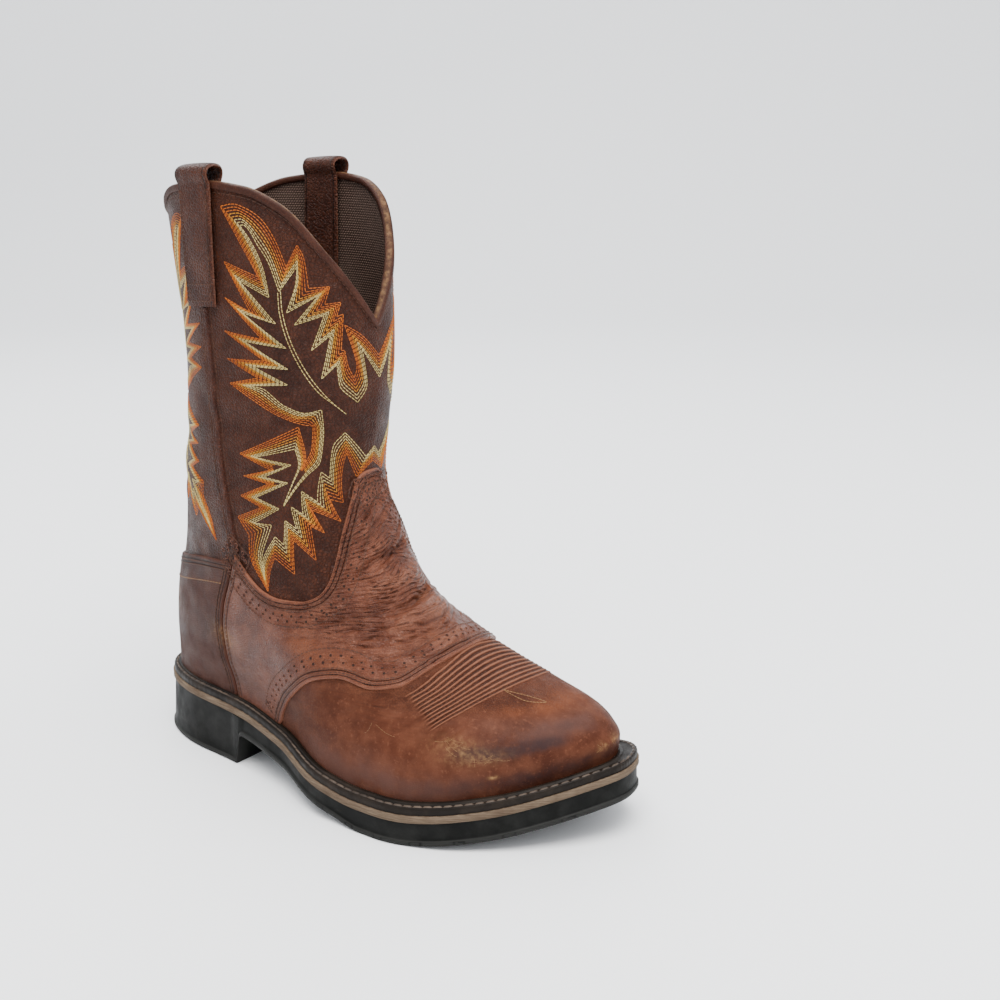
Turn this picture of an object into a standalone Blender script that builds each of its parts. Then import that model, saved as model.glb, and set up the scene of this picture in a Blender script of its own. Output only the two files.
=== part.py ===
"""Western pull-on work boot for the right foot: round toe, stitched welt, one-piece rubber sole.

Metres, +Z up, toe towards +X, +Y is the inner side of the foot. The origin is on the floor,
under the middle of the heel block. Every section is worked out from the sizes below.
"""

import math

import bmesh
import bpy
import numpy as np

for leftover in list(bpy.data.objects):
    bpy.data.objects.remove(leftover)

# Driving dimensions, in metres
SOLE_LENGTH = 0.303
BALL_WIDTH = 0.113
HEEL_WIDTH = 0.069
TOE_SWING = 0.012           # how far the toe's tip leans to the inner side
HEEL_STACK = 0.029          # floor to the top of the rubber at the heel
FOREPART_THICKNESS = 0.012
WAIST_THICKNESS = 0.010
TOE_SPRING = 0.021
HEEL_FLARE = 0.0018         # the heel block widens by this towards the floor
HEEL_BREAST = 0.081         # back of the sole to the front of the heel block
BREAST_SLANT = 0.004
PANEL_DEPTH = 0.001         # how far the side panel lies behind its rim
PANEL_RIM = 0.0026
LUG_DEPTH = 0.0022
LUG_GROOVE = 0.0045
MIDSOLE_THICKNESS = 0.0038
WELT_THICKNESS = 0.0042
WELT_EDGE_STEP = 0.0008     # the welt's edge stands back this far from the sole's edge
WELT_SHELF = 0.0065         # how far the sole stands out past the upper
TOE_SHELF = 0.0110          # the same at the toe
WALL = 0.0024
LAYER_GAP = 0.0003
INSOLE_THICKNESS = 0.0075
ANKLE_HEIGHT = 0.166        # floor to the ring where foot and shaft meet
SHAFT_HEIGHT = 0.317        # floor to the collar's side peaks
SHAFT_DEPTH = 0.133         # front to back at the collar
SHAFT_WIDTH = 0.096
FRONT_SCALLOP = 0.070       # how far the collar dips at the front
BACK_SCALLOP = 0.026
OVERLAY_THICKNESS = 0.0013
SEAM_WIDTH = 0.0048
SEAM_HEIGHT = 0.0014
BINDING_THICKNESS = 0.0010
BINDING_DEPTH = 0.0034
STRAP_WIDTH = 0.0235
STRAP_THICKNESS = 0.0022
STRAP_OUTSIDE = 0.061       # how far the strap runs down the outside
STRAP_INSIDE = 0.060
STRAP_LOOP_RISE = 0.0062    # daylight between the collar and the strap's loop

# Mesh density
AROUND = 52
FOOT_ROWS = 14
SHAFT_ROWS = 8

HEEL_CENTRE = HEEL_BREAST / 2


def smooth_table(places, values):
    """A smooth curve through the rows of a table that never swings past its own values."""
    places = np.asarray(places, float)
    values = np.asarray(values, float)
    steps = np.diff(places)
    slopes = np.diff(values) / steps
    tangents = np.zeros_like(values)
    tangents[0], tangents[-1] = slopes[0], slopes[-1]
    for i in range(1, len(values) - 1):
        if slopes[i - 1] * slopes[i] > 0:
            before, after = steps[i - 1], steps[i]
            tangents[i] = 3 * (before + after) / (
                (2 * after + before) / slopes[i - 1] + (after + 2 * before) / slopes[i]
            )

    def at(place):
        place = np.clip(place, places[0], places[-1])
        i = np.clip(np.searchsorted(places, place, side="right") - 1, 0, len(steps) - 1)
        t = (place - places[i]) / steps[i]
        return (
            (1 + 2 * t) * (1 - t) ** 2 * values[i]
            + t * (1 - t) ** 2 * steps[i] * tangents[i]
            + t * t * (3 - 2 * t) * values[i + 1]
            + t * t * (t - 1) * steps[i] * tangents[i + 1]
        )

    return at


# The sole's plan. along: share of its length. The other columns: shares of heel and ball width.
OUTLINE = [
    # along, outer_heel, outer_ball, inner_heel, inner_ball
    (0.00, 0.00, 0.00, 0.00, 0.00),
    (0.02, 0.22, 0.00, 0.23, 0.00),
    (0.06, 0.355, 0.00, 0.375, 0.00),
    (0.13, 0.47, 0.00, 0.48, 0.00),
    (0.25, 0.50, 0.03, 0.46, 0.01),
    (0.40, 0.10, 0.36, 0.08, 0.23),
    (0.54, 0.00, 0.54, 0.00, 0.355),
    (0.66, 0.00, 0.55, 0.00, 0.45),
    (0.76, 0.00, 0.485, 0.00, 0.485),
    (0.86, 0.00, 0.335, 0.00, 0.465),
    (0.93, 0.00, 0.18, 0.00, 0.40),
    (0.975, 0.00, 0.045, 0.00, 0.30),
    (1.00, 0.00, 0.00, 0.00, 0.00),
]


def outline_side(heel_column, ball_column, side):
    turns = [math.acos(1 - 2 * row[0]) for row in OUTLINE]
    reach = [side * (row[heel_column] * HEEL_WIDTH + row[ball_column] * BALL_WIDTH) for row in OUTLINE]
    reach[-1] = TOE_SWING
    return smooth_table(turns, reach)


OUTER_SIDE = outline_side(1, 2, -1)
INNER_SIDE = outline_side(3, 4, 1)


def plan_point(turn):
    """A point of the sole's plan. turn is 0 at the back and pi at the toe, by way of the outer side."""
    turn = np.mod(turn, 2 * math.pi)
    half = np.where(turn <= math.pi, turn, 2 * math.pi - turn)
    side = np.where(turn <= math.pi, OUTER_SIDE(half), INNER_SIDE(half))
    return SOLE_LENGTH * (1 - np.cos(half)) / 2, side


def sole_outline(turn, inset=0.0):
    """The sole's plan, moved inwards by inset at right angles to its edge."""
    x, y = plan_point(turn)
    reach = 0.03
    ahead, behind = plan_point(turn + reach), plan_point(turn - reach)
    along_x, along_y = ahead[0] - behind[0], ahead[1] - behind[1]
    length = np.hypot(along_x, along_y)
    return x - inset * along_y / length, y + inset * along_x / length


# Height of the rubber's top, along the sole, as shares of three sizes
SOLE_TOP = [
    # along, heel_stack, forepart, toe_spring
    (0.00, 1.03, 0.00, 0.00),
    (0.28, 0.98, 0.00, 0.00),
    (0.40, 0.72, 0.24, 0.00),
    (0.50, 0.32, 0.66, 0.00),
    (0.62, 0.00, 1.00, 0.00),
    (0.70, 0.00, 1.00, 0.00),
    (0.82, 0.00, 1.00, 0.22),
    (1.00, 0.00, 1.00, 1.00),
]
SOLE_TOP_AT = smooth_table(
    [row[0] for row in SOLE_TOP],
    [row[1] * HEEL_STACK + row[2] * FOREPART_THICKNESS + row[3] * TOE_SPRING for row in SOLE_TOP],
)
MIDSOLE_TOP = LAYER_GAP + MIDSOLE_THICKNESS
WELT_TOP = MIDSOLE_TOP + LAYER_GAP + WELT_THICKNESS


def sole_top(x):
    return SOLE_TOP_AT(x / SOLE_LENGTH)


def feather_height(x):
    """Height of the upper's lower edge, which stands on the welt."""
    return sole_top(x) + WELT_TOP + LAYER_GAP


# Rings of the foot, from the welt (level 0) to the ankle (level 1). back and front say how far the
# ring's ends stand in from the upper's lower edge, as shares of the sole's length. The rises are
# shares of the way up to the ankle, and outer and inner are half widths, as shares of the ball's.
FOOT_RINGS = [
    # level, back, back_rise, front, front_rise, outer, inner, sole_like, bluntness
    (0.00, 0.0000, 0.000, 0.000, 0.000, 0.480, 0.440, 1.00, 2.4),
    (0.10, 0.0030, 0.100, -0.005, 0.075, 0.490, 0.450, 0.95, 2.4),
    (0.20, 0.0065, 0.200, 0.008, 0.130, 0.480, 0.450, 0.82, 2.4),
    (0.30, 0.0110, 0.310, 0.037, 0.176, 0.460, 0.435, 0.64, 2.35),
    (0.40, 0.0165, 0.420, 0.084, 0.210, 0.440, 0.415, 0.46, 2.25),
    (0.50, 0.0225, 0.525, 0.147, 0.245, 0.420, 0.400, 0.32, 2.1),
    (0.60, 0.0280, 0.625, 0.226, 0.298, 0.400, 0.385, 0.20, 1.98),
    (0.70, 0.0340, 0.720, 0.307, 0.373, 0.385, 0.375, 0.11, 1.95),
    (0.80, 0.0415, 0.815, 0.375, 0.490, 0.375, 0.370, 0.05, 1.95),
    (0.90, 0.0520, 0.905, 0.431, 0.705, 0.378, 0.372, 0.01, 2.0),
    (1.00, 0.0670, 1.000, 0.472, 1.000, 0.385, 0.380, 0.00, 2.05),
]
# Rings of the shaft, from the ankle to the collar (level 2). back and front are shares of the
# collar's depth, counted from the sole's back, and outer and inner of the collar's width.
SHAFT_RINGS = [
    # level, back, front, outer, inner
    (1.25, 0.245, 1.145, 0.466, 0.466),
    (1.50, 0.262, 1.172, 0.484, 0.484),
    (1.75, 0.238, 1.178, 0.495, 0.495),
    (2.00, 0.206, 1.178, 0.500, 0.500),
]
SHAFT_BLUNTNESS = 2.05
SHAFT_LEAN = 0.004         # the shaft's middle stands this far to the inner side


def shelf(turn):
    """How far the upper's lower edge stands in from the sole's edge."""
    return WELT_SHELF + (TOE_SHELF - WELT_SHELF) * np.clip((1 - np.cos(turn)) / 2, 0, 1) ** 4


FEATHER_BACK = float(sole_outline(np.float64(0.0), WELT_SHELF)[0])
FEATHER_FRONT = float(sole_outline(np.float64(math.pi), TOE_SHELF)[0])


def ring_column(foot_values, shaft_values):
    levels = [row[0] for row in FOOT_RINGS] + [row[0] for row in SHAFT_RINGS]
    return smooth_table(levels, foot_values + shaft_values)


def ring_width(foot_column, shaft_column):
    foot = [row[foot_column] * BALL_WIDTH for row in FOOT_RINGS]
    return ring_column(foot, [row[shaft_column] * SHAFT_WIDTH for row in SHAFT_RINGS])


RING_BACK = ring_column(
    [FEATHER_BACK + row[1] * SOLE_LENGTH for row in FOOT_RINGS],
    [row[1] * SHAFT_DEPTH for row in SHAFT_RINGS],
)
RING_FRONT = ring_column(
    [FEATHER_FRONT - row[3] * SOLE_LENGTH for row in FOOT_RINGS],
    [row[2] * SHAFT_DEPTH for row in SHAFT_RINGS],
)
RING_BACK_RISE = smooth_table([row[0] for row in FOOT_RINGS], [row[2] for row in FOOT_RINGS])
RING_FRONT_RISE = smooth_table([row[0] for row in FOOT_RINGS], [row[4] for row in FOOT_RINGS])
RING_OUTER = ring_width(5, 3)
RING_INNER = ring_width(6, 4)
RING_SOLE_LIKE = ring_column([row[7] for row in FOOT_RINGS], [0.0 for row in SHAFT_RINGS])
RING_BLUNTNESS = ring_column([row[8] for row in FOOT_RINGS], [SHAFT_BLUNTNESS for row in SHAFT_RINGS])
RING_LEAN = smooth_table([0.0, 0.6, 1.0, 2.0], [0.0, TOE_SWING * 0.4, SHAFT_LEAN, SHAFT_LEAN])


# How far the collar dips, from the front middle round to the back middle, as shares of the scallops
SCALLOPS = [
    # round, front_dip, back_dip
    (0.00, 1.00, 0.00),
    (0.08, 0.76, 0.00),
    (0.17, 0.50, 0.00),
    (0.30, 0.15, 0.00),
    (0.40, 0.03, 0.00),
    (0.50, 0.00, 0.00),
    (0.65, 0.00, 0.10),
    (0.83, 0.00, 0.56),
    (1.00, 0.00, 1.00),
]
COLLAR_DIP = smooth_table(
    [row[0] for row in SCALLOPS],
    [row[1] * FRONT_SCALLOP + row[2] * BACK_SCALLOP for row in SCALLOPS],
)


def collar_height(turn):
    """Height of the collar's edge: side peaks, a deep V at the front and a shallow dip behind."""
    turn = np.mod(turn, 2 * math.pi)
    return SHAFT_HEIGHT - COLLAR_DIP(np.abs(turn - math.pi) / math.pi)


def upper_point(turn, level):
    """A point of the upper's outer surface, as three arrays in metres from the sole's back."""
    turn, level = np.broadcast_arrays(np.asarray(turn, float), np.asarray(level, float))
    plan_x, plan_y = sole_outline(turn, shelf(turn))
    share = (plan_x - FEATHER_BACK) / (FEATHER_FRONT - FEATHER_BACK)
    back, front = RING_BACK(level), RING_FRONT(level)
    sole_like = RING_SOLE_LIKE(level)
    outer_side = np.sin(turn) > 0
    # The ring is part sole plan, part rounded oval
    power = 2 / RING_BLUNTNESS(level)
    oval_share = (1 - np.sign(np.cos(turn)) * np.abs(np.cos(turn)) ** power) / 2
    half_width = np.where(outer_side, RING_OUTER(level), RING_INNER(level))
    oval_y = np.where(outer_side, -1, 1) * half_width * np.abs(np.sin(turn)) ** power + RING_LEAN(level)
    taper = np.minimum(1.0, half_width / np.where(outer_side, RING_OUTER(0.0), RING_INNER(0.0)))
    along = sole_like * share + (1 - sole_like) * oval_share
    x = back + (front - back) * along
    y = sole_like * plan_y * taper + (1 - sole_like) * oval_y
    # It slopes straight from the back to the front, bent low down to follow the welt
    heel_edge, toe_edge = feather_height(FEATHER_BACK), feather_height(FEATHER_FRONT)
    back_z = heel_edge + RING_BACK_RISE(level) * (ANKLE_HEIGHT - heel_edge)
    front_z = toe_edge + RING_FRONT_RISE(level) * (ANKLE_HEIGHT - toe_edge)
    bend = feather_height(plan_x) - heel_edge * (1 - share) - toe_edge * share
    foot_z = back_z * (1 - along) + front_z * along + sole_like * bend
    shaft_z = ANKLE_HEIGHT + np.clip(level - 1, 0, 1) * (collar_height(turn) - ANKLE_HEIGHT)
    return x, y, np.where(level <= 1, foot_z, shaft_z)


def upper_surface(turn, level, out=0.0):
    """A point of the upper's surface, moved out along its normal."""
    small = 0.004
    x, y, z = upper_point(turn, level)
    here = np.stack([x, y, z], -1)
    if np.ndim(out) == 0 and out == 0:
        return here
    level = np.asarray(level, float)
    around = np.stack(upper_point(turn + small, level), -1) - np.stack(upper_point(turn - small, level), -1)
    high, low = np.minimum(level + small, 2.0), np.maximum(level - small, 0.0)
    upwards = np.stack(upper_point(turn, high), -1) - np.stack(upper_point(turn, low), -1)
    normal = np.cross(around, upwards)
    normal /= np.linalg.norm(normal, axis=-1, keepdims=True)
    return here + normal * np.asarray(out)[..., None]


def feather_floor(points):
    """Lifts points to the height of the upper's lower edge where they would sink into the welt."""
    points = points.copy()
    points[..., 2] = np.maximum(points[..., 2], feather_height(points[..., 0]))
    return points


# Solids
def material(name, colour, roughness):
    made = bpy.data.materials.new(name)
    made.use_nodes = True
    shader = made.node_tree.nodes["Principled BSDF"]
    shader.inputs["Base Color"].default_value = (*colour, 1)
    shader.inputs["Roughness"].default_value = roughness
    shader.inputs["Metallic"].default_value = 0
    return made


def solid(name, points, faces, colour, roughness):
    """One closed object. Points count from the sole's back and move to the heel's middle."""
    shifted = [(float(x) - HEEL_CENTRE, float(y), float(z)) for x, y, z in points]
    mesh = bpy.data.meshes.new(name)
    mesh.from_pydata(shifted, [], [list(map(int, face)) for face in faces])
    cleaner = bmesh.new()
    cleaner.from_mesh(mesh)
    bmesh.ops.remove_doubles(cleaner, verts=cleaner.verts, dist=1e-6)
    bmesh.ops.recalc_face_normals(cleaner, faces=cleaner.faces)
    cleaner.to_mesh(mesh)
    cleaner.free()
    mesh.shade_smooth()
    mesh.set_sharp_from_angle(angle=math.radians(40))
    made = bpy.data.objects.new(name, mesh)
    made.data.materials.append(material(name, colour, roughness))
    bpy.context.scene.collection.objects.link(made)
    return made


def halves(a, b, c, d):
    """The two triangles of a square, always cut the same way, so that layers lie parallel."""
    return [(a, b, c), (a, c, d)]


def band_faces(first, second):
    """Triangles between two closed rings of point numbers."""
    count = len(first)
    faces = []
    for i in range(count):
        after = (i + 1) % count
        faces += halves(first[i], first[after], second[after], second[i])
    return faces


def grid_faces(numbers):
    """Triangles of an open grid of point numbers."""
    rows, columns = numbers.shape
    faces = []
    for i in range(rows - 1):
        for j in range(columns - 1):
            faces += halves(numbers[i, j], numbers[i, j + 1], numbers[i + 1, j + 1], numbers[i + 1, j])
    return faces


def slab(name, inside, outside, colour, roughness):
    """A closed sheet between two grids of points of the same shape."""
    rows, columns = inside.shape[:2]
    inner = np.arange(rows * columns).reshape(rows, columns)
    outer = inner + rows * columns
    faces = grid_faces(inner) + grid_faces(outer)
    edge = list(inner[0, :-1]) + list(inner[:-1, -1]) + list(inner[-1, :0:-1]) + list(inner[:0:-1, 0])
    faces += band_faces(edge, [number + rows * columns for number in edge])
    points = np.concatenate([inside.reshape(-1, 3), outside.reshape(-1, 3)])
    return solid(name, points, faces, colour, roughness)


def half_turns(extra=()):
    """Turns from the back to the toe, shared by every layer, with extra places along the sole."""
    turns = [math.pi * i / (AROUND // 2) for i in range(AROUND // 2 + 1)]
    for x in extra:
        turns.append(math.acos(1 - 2 * x / SOLE_LENGTH))
    return np.array(sorted(turns))


def full_turns(half):
    return np.concatenate([half, 2 * math.pi - half[-2:0:-1]])


def sole_layer(name, rows, colour, roughness, extra=()):
    """A plate over the sole's plan. rows: (inset, height function) from the bottom up."""
    half = half_turns(extra)
    turns = full_turns(half)
    points = []
    for inset, height in rows:
        x, y = sole_outline(turns, inset(turns) if callable(inset) else inset)
        points.append(np.stack([x, y, height(x)], -1))
    count = len(turns)
    faces = []
    for row in range(len(rows) - 1):
        low = [row * count + i for i in range(count)]
        faces += band_faces(low, [number + count for number in low])
    for start in (0, (len(rows) - 1) * count):
        for i in range(len(half) - 1):
            corners = [start + i, start + i + 1, start + (count - i - 1) % count, start + (count - i) % count]
            faces.append([corner for k, corner in enumerate(corners) if corner not in corners[:k]])
    return solid(name, np.concatenate(points), faces, colour, roughness)


# Outsole
FLAT_FROM = 0.62
FLAT_TO = 0.70
WAIST_RUN = 0.05            # share of the length over which the waist thickens into the forepart


def outsole_bottom(x):
    """Height of the tread's face: heel block, slanted breast, waist, flat forepart, toe spring."""
    waist_share = np.clip((FLAT_FROM - x / SOLE_LENGTH) / WAIST_RUN, 0, 1)
    thickness = FOREPART_THICKNESS + (WAIST_THICKNESS - FOREPART_THICKNESS) * waist_share
    arched = np.maximum(sole_top(x) - thickness, 0)
    arched = np.where(arched < 1e-6, 0, arched)
    breast_share = np.clip((x - HEEL_BREAST) / BREAST_SLANT, 0, 1)
    return arched * breast_share


def heel_flare(turn):
    """Negative inset round the heel block, fading out before the waist."""
    return -HEEL_FLARE * np.clip(1.6 - plan_point(turn)[0] / HEEL_BREAST, 0, 1)


LUG_SLANT = 0.006
LUG_RUNOUT = 0.012          # the forepart's grooves run this far past the sole's edge
HEEL_LUGS = 3
HEEL_LUG_REACH = 0.36       # share of the heel's width
FOREPART_LUGS = 7
FOREPART_LUGS_FROM = 0.535
FOREPART_LUGS_TO = 0.925
SOLID_STRIP = 0.012         # half width of the strip that the grooves leave whole


def lug_places():
    """For each groove: its place along the sole, and how far out it runs."""
    heel = [(HEEL_BREAST * (0.24 + 0.24 * i), HEEL_LUG_REACH * HEEL_WIDTH) for i in range(HEEL_LUGS)]
    step = (FOREPART_LUGS_TO - FOREPART_LUGS_FROM) / (FOREPART_LUGS - 1)
    places = [SOLE_LENGTH * (FOREPART_LUGS_FROM + step * i) for i in range(FOREPART_LUGS)]
    return heel + [(place, BALL_WIDTH / 2 + LUG_RUNOUT) for place in places]


def lug_cutter(name, places):
    """Slanted grooves on both sides of a solid strip down the middle."""
    points, faces = [], []
    for x, reach in places:
        for side in (-1, 1):
            start = len(points)
            for y, lead in ((side * SOLID_STRIP, LUG_SLANT), (side * reach, 0.0)):
                for shift in (-LUG_GROOVE / 2, LUG_GROOVE / 2):
                    place = x + lead + shift
                    roof = outsole_bottom(np.float64(place)) + LUG_DEPTH
                    points.append((place, y, roof))
                    points.append((place, y, -LUG_DEPTH))
            a, b, c, d, e, f, g, h = range(start, start + 8)
            faces += [(a, c, d, b), (e, f, h, g), (a, b, f, e), (c, g, h, d), (a, e, g, c), (b, d, h, f)]
    return solid(name, points, faces, (0.5, 0.5, 0.5), 0.5)


def make_outsole():
    rim_slope = PANEL_DEPTH * 0.7
    breast_foot = HEEL_BREAST + BREAST_SLANT
    outsole = sole_layer(
        "outsole",
        [
            (heel_flare, outsole_bottom),
            (heel_flare, lambda x: outsole_bottom(x) + PANEL_RIM),
            (lambda turn: heel_flare(turn) + PANEL_DEPTH, lambda x: outsole_bottom(x) + PANEL_RIM + rim_slope),
            (PANEL_DEPTH, sole_top),
        ],
        (0.022, 0.024, 0.022),
        0.6,
        extra=(HEEL_BREAST, breast_foot, FLAT_FROM * SOLE_LENGTH, FLAT_TO * SOLE_LENGTH),
    )
    cutter = lug_cutter("lug_cutter", lug_places())
    cutter.hide_render = True
    cutter.display_type = "WIRE"
    grooves = outsole.modifiers.new("lugs", "BOOLEAN")
    grooves.operation = "DIFFERENCE"
    grooves.solver = "EXACT"
    grooves.object = cutter


def raised(lift):
    return lambda x: sole_top(x) + lift


def make_midsole():
    rows = [(0.0, raised(LAYER_GAP)), (0.0, raised(MIDSOLE_TOP))]
    sole_layer("midsole", rows, (0.30, 0.22, 0.15), 0.7)


def welt_inner(turn):
    """Inset of the welt ring's inner edge, just inside the upper's wall."""
    return shelf(turn) + WALL + 2 * LAYER_GAP


def make_welt():
    turns = full_turns(half_turns())
    bottom, top = MIDSOLE_TOP + LAYER_GAP, WELT_TOP
    inner = welt_inner(turns)
    corners = [(WELT_EDGE_STEP, bottom), (WELT_EDGE_STEP, top), (inner, top), (inner, bottom)]
    points, faces = [], []
    for inset, lift in corners:
        x, y = sole_outline(turns, inset)
        points.append(np.stack([x, y, sole_top(x) + lift], -1))
    count = len(turns)
    for row in range(len(corners)):
        after = (row + 1) % len(corners)
        faces += band_faces([row * count + i for i in range(count)], [after * count + i for i in range(count)])
    solid("welt", np.concatenate(points), faces, (0.035, 0.025, 0.018), 0.6)


def make_insole():
    def inset(turn):
        return welt_inner(turn) + LAYER_GAP

    seat = MIDSOLE_TOP + LAYER_GAP
    rows = [(inset, raised(seat)), (inset, raised(seat + INSOLE_THICKNESS))]
    sole_layer("insole", rows, (0.08, 0.06, 0.05), 0.9)


# Upper
def upper_levels():
    foot = [i / FOOT_ROWS for i in range(FOOT_ROWS)]
    shaft = [1 + i / SHAFT_ROWS for i in range(SHAFT_ROWS + 1)]
    return np.array(foot + shaft)


def make_upper():
    turns = full_turns(half_turns())
    levels = upper_levels()
    turn_grid, level_grid = np.meshgrid(turns, levels)
    outside = upper_surface(turn_grid, level_grid)
    inside = upper_surface(turn_grid, level_grid, -WALL)
    inside[0, :, 2] = feather_height(inside[0, :, 0])
    inside[-1, :, 2] = outside[-1, :, 2]
    rows, columns = turn_grid.shape
    outer = np.arange(rows * columns).reshape(rows, columns)
    inner = outer + rows * columns
    faces = []
    for numbers in (outer, inner):
        for row in range(rows - 1):
            faces += band_faces(list(numbers[row]), list(numbers[row + 1]))
    for row in (0, rows - 1):
        faces += band_faces(list(outer[row]), list(inner[row]))
    points = np.concatenate([outside.reshape(-1, 3), inside.reshape(-1, 3)])
    solid("upper", points, faces, (0.10, 0.035, 0.025), 0.5)


# Lines on the boot's side, seen square on. along: share of the sole's length. rise: share of the
# ankle's height.
SEAM_LINE = [
    # along, rise
    (0.262, 0.15),
    (0.254, 0.27),
    (0.243, 0.36),
    (0.240, 0.47),
    (0.249, 0.56),
    (0.272, 0.66),
    (0.290, 0.74),
]
SADDLE_TOP_LINE = [
    # along, rise
    (0.290, 0.740),
    (0.325, 0.680),
    (0.362, 0.642),
    (0.400, 0.628),
    (0.440, 0.630),
    (0.468, 0.652),
    (0.481, 0.700),
    (0.486, 0.780),
    (0.4865, 0.860),
    (0.486, 0.930),
    (0.486, 0.980),
    (0.490, 1.015),
    (0.502, 1.035),
]
SADDLE_FRONT_LINE = [
    # along, rise
    (0.712, 0.580),
    (0.698, 0.520),
    (0.683, 0.475),
    (0.655, 0.432),
    (0.610, 0.422),
    (0.555, 0.435),
    (0.500, 0.415),
    (0.448, 0.345),
    (0.415, 0.285),
    (0.396, 0.230),
    (0.386, 0.150),
]
COUNTER_TOP_LINE = [
    # along, rise
    (0.280, 0.710),
    (0.190, 0.690),
    (0.078, 0.645),
    (-0.020, 0.590),
]
# The raised seam, from the saddle's corner (0) to just under the pull strap (1)
SHAFT_SEAM_LINE = [
    # along, upwards
    (0.292, 0.00),
    (0.284, 0.15),
    (0.276, 0.31),
    (0.272, 0.63),
    (0.272, 1.00),
]
SHAFT_SEAM_FOOT = 0.755     # share of the ankle's height
SEAM_CLEAR = 0.001


def side_line(rows, steps=3):
    """A smooth curve through the rows of a line, as points of the side view in metres."""
    points = np.array([(along * SOLE_LENGTH, rise * ANKLE_HEIGHT) for along, rise in rows])
    distance = np.concatenate([[0], np.cumsum(np.linalg.norm(np.diff(points, axis=0), axis=1))])
    along, rise = smooth_table(distance, points[:, 0]), smooth_table(distance, points[:, 1])
    places = np.concatenate(
        [np.linspace(a, b, steps, endpoint=False) for a, b in zip(distance[:-1], distance[1:])] + [distance[-1:]]
    )
    return [(float(along(place)), float(rise(place))) for place in places]


def side_cutter(name, outline, y_from, y_to):
    """A prism with the given outline in the side view, from y_from to y_to."""
    count = len(outline)
    points = [(x, y_from, z) for x, z in outline] + [(x, y_to, z) for x, z in outline]
    faces = [list(range(count)), list(range(count, 2 * count))[::-1]]
    faces += [(i, (i + 1) % count, (i + 1) % count + count, i + count) for i in range(count)]
    cutter = solid(name, points, faces, (0.5, 0.5, 0.5), 0.5)
    cutter.hide_render = True
    cutter.display_type = "WIRE"
    return cutter


def overlay(name, turns, levels, thickness, cutter, colour, roughness):
    """A leather layer on the upper's own grid, cut to the cutter's outline."""
    turn_grid, level_grid = np.meshgrid(turns, levels)
    inside = feather_floor(upper_surface(turn_grid, level_grid, LAYER_GAP))
    outside = feather_floor(upper_surface(turn_grid, level_grid, LAYER_GAP + thickness))
    layer = slab(name, inside, outside, colour, roughness)
    cut = layer.modifiers.new("outline", "BOOLEAN")
    cut.operation = "INTERSECT"
    cut.solver = "EXACT"
    cut.object = cutter
    return layer


def turns_between(start, end):
    """The upper's own turns between two angles in degrees; start may lie before the back."""
    turns = full_turns(half_turns())
    turns = np.concatenate([turns - 2 * math.pi, turns])
    return turns[(turns > math.radians(start)) & (turns < math.radians(end))]


def levels_between(low, high):
    levels = upper_levels()
    return levels[(levels > low - 1e-9) & (levels < high + 1e-9)]


SIDE_REACH = 0.09           # cutters reach this far to either side
OVERLAY_SPLIT = 0.0004      # half the gap between the counter and the saddle


def make_saddle_vamp():
    seam = [(x + OVERLAY_SPLIT, z) for x, z in side_line(SEAM_LINE)]
    past_front = [(0.75 * SOLE_LENGTH, 1.035 * ANKLE_HEIGHT), (0.75 * SOLE_LENGTH, 0.58 * ANKLE_HEIGHT)]
    outline = seam[:-1] + side_line(SADDLE_TOP_LINE) + past_front + side_line(SADDLE_FRONT_LINE)
    cutter = side_cutter("saddle_cutter", outline, -SIDE_REACH, SIDE_REACH)
    overlay(
        "saddle_vamp",
        turns_between(42, 318),
        levels_between(0.0, 1.12),
        OVERLAY_THICKNESS,
        cutter,
        (0.17, 0.07, 0.035),
        0.5,
    )


def make_counter():
    seam = [(x - OVERLAY_SPLIT, z) for x, z in side_line(SEAM_LINE)]
    below = [(-0.02 * SOLE_LENGTH, 0.15 * ANKLE_HEIGHT)]
    outline = seam[:-2] + side_line(COUNTER_TOP_LINE) + below
    cutter = side_cutter("counter_cutter", outline, -SIDE_REACH, SIDE_REACH)
    overlay(
        "counter",
        turns_between(-80, 80),
        levels_between(0.0, 0.85),
        OVERLAY_THICKNESS,
        cutter,
        (0.09, 0.035, 0.025),
        0.5,
    )


def make_side_seam(name, start, end, y_from, y_to):
    foot = SHAFT_SEAM_FOOT * ANKLE_HEIGHT
    top = SHAFT_HEIGHT - STRAP_OUTSIDE - SEAM_CLEAR
    rows = [(along, (foot + (top - foot) * upwards) / ANKLE_HEIGHT) for along, upwards in SHAFT_SEAM_LINE]
    line = side_line(rows, 2)
    half = SEAM_WIDTH / 2
    outline = [(x + half, z) for x, z in line] + [(x - half, z) for x, z in line[::-1]]
    cutter = side_cutter(name + "_cutter", outline, y_from, y_to)
    overlay(name, turns_between(start, end), levels_between(0.6, 2.0), SEAM_HEIGHT, cutter, (0.08, 0.03, 0.022), 0.5)


# Collar binding
def collar_frames(turns):
    """For each turn: the collar's edge point, the outward direction, and the way down the leather."""
    edge = upper_surface(turns, np.full_like(turns, 2.0))
    out = upper_surface(turns, np.full_like(turns, 2.0), 1.0) - edge
    step = 0.01
    ahead = upper_surface(turns + step, np.full_like(turns, 2.0))
    behind = upper_surface(turns - step, np.full_like(turns, 2.0))
    along = ahead - behind
    down = np.cross(along, out)
    down /= np.linalg.norm(down, axis=1, keepdims=True)
    return edge, out, down * np.where(down[:, 2:] > 0, -1, 1)


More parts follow.
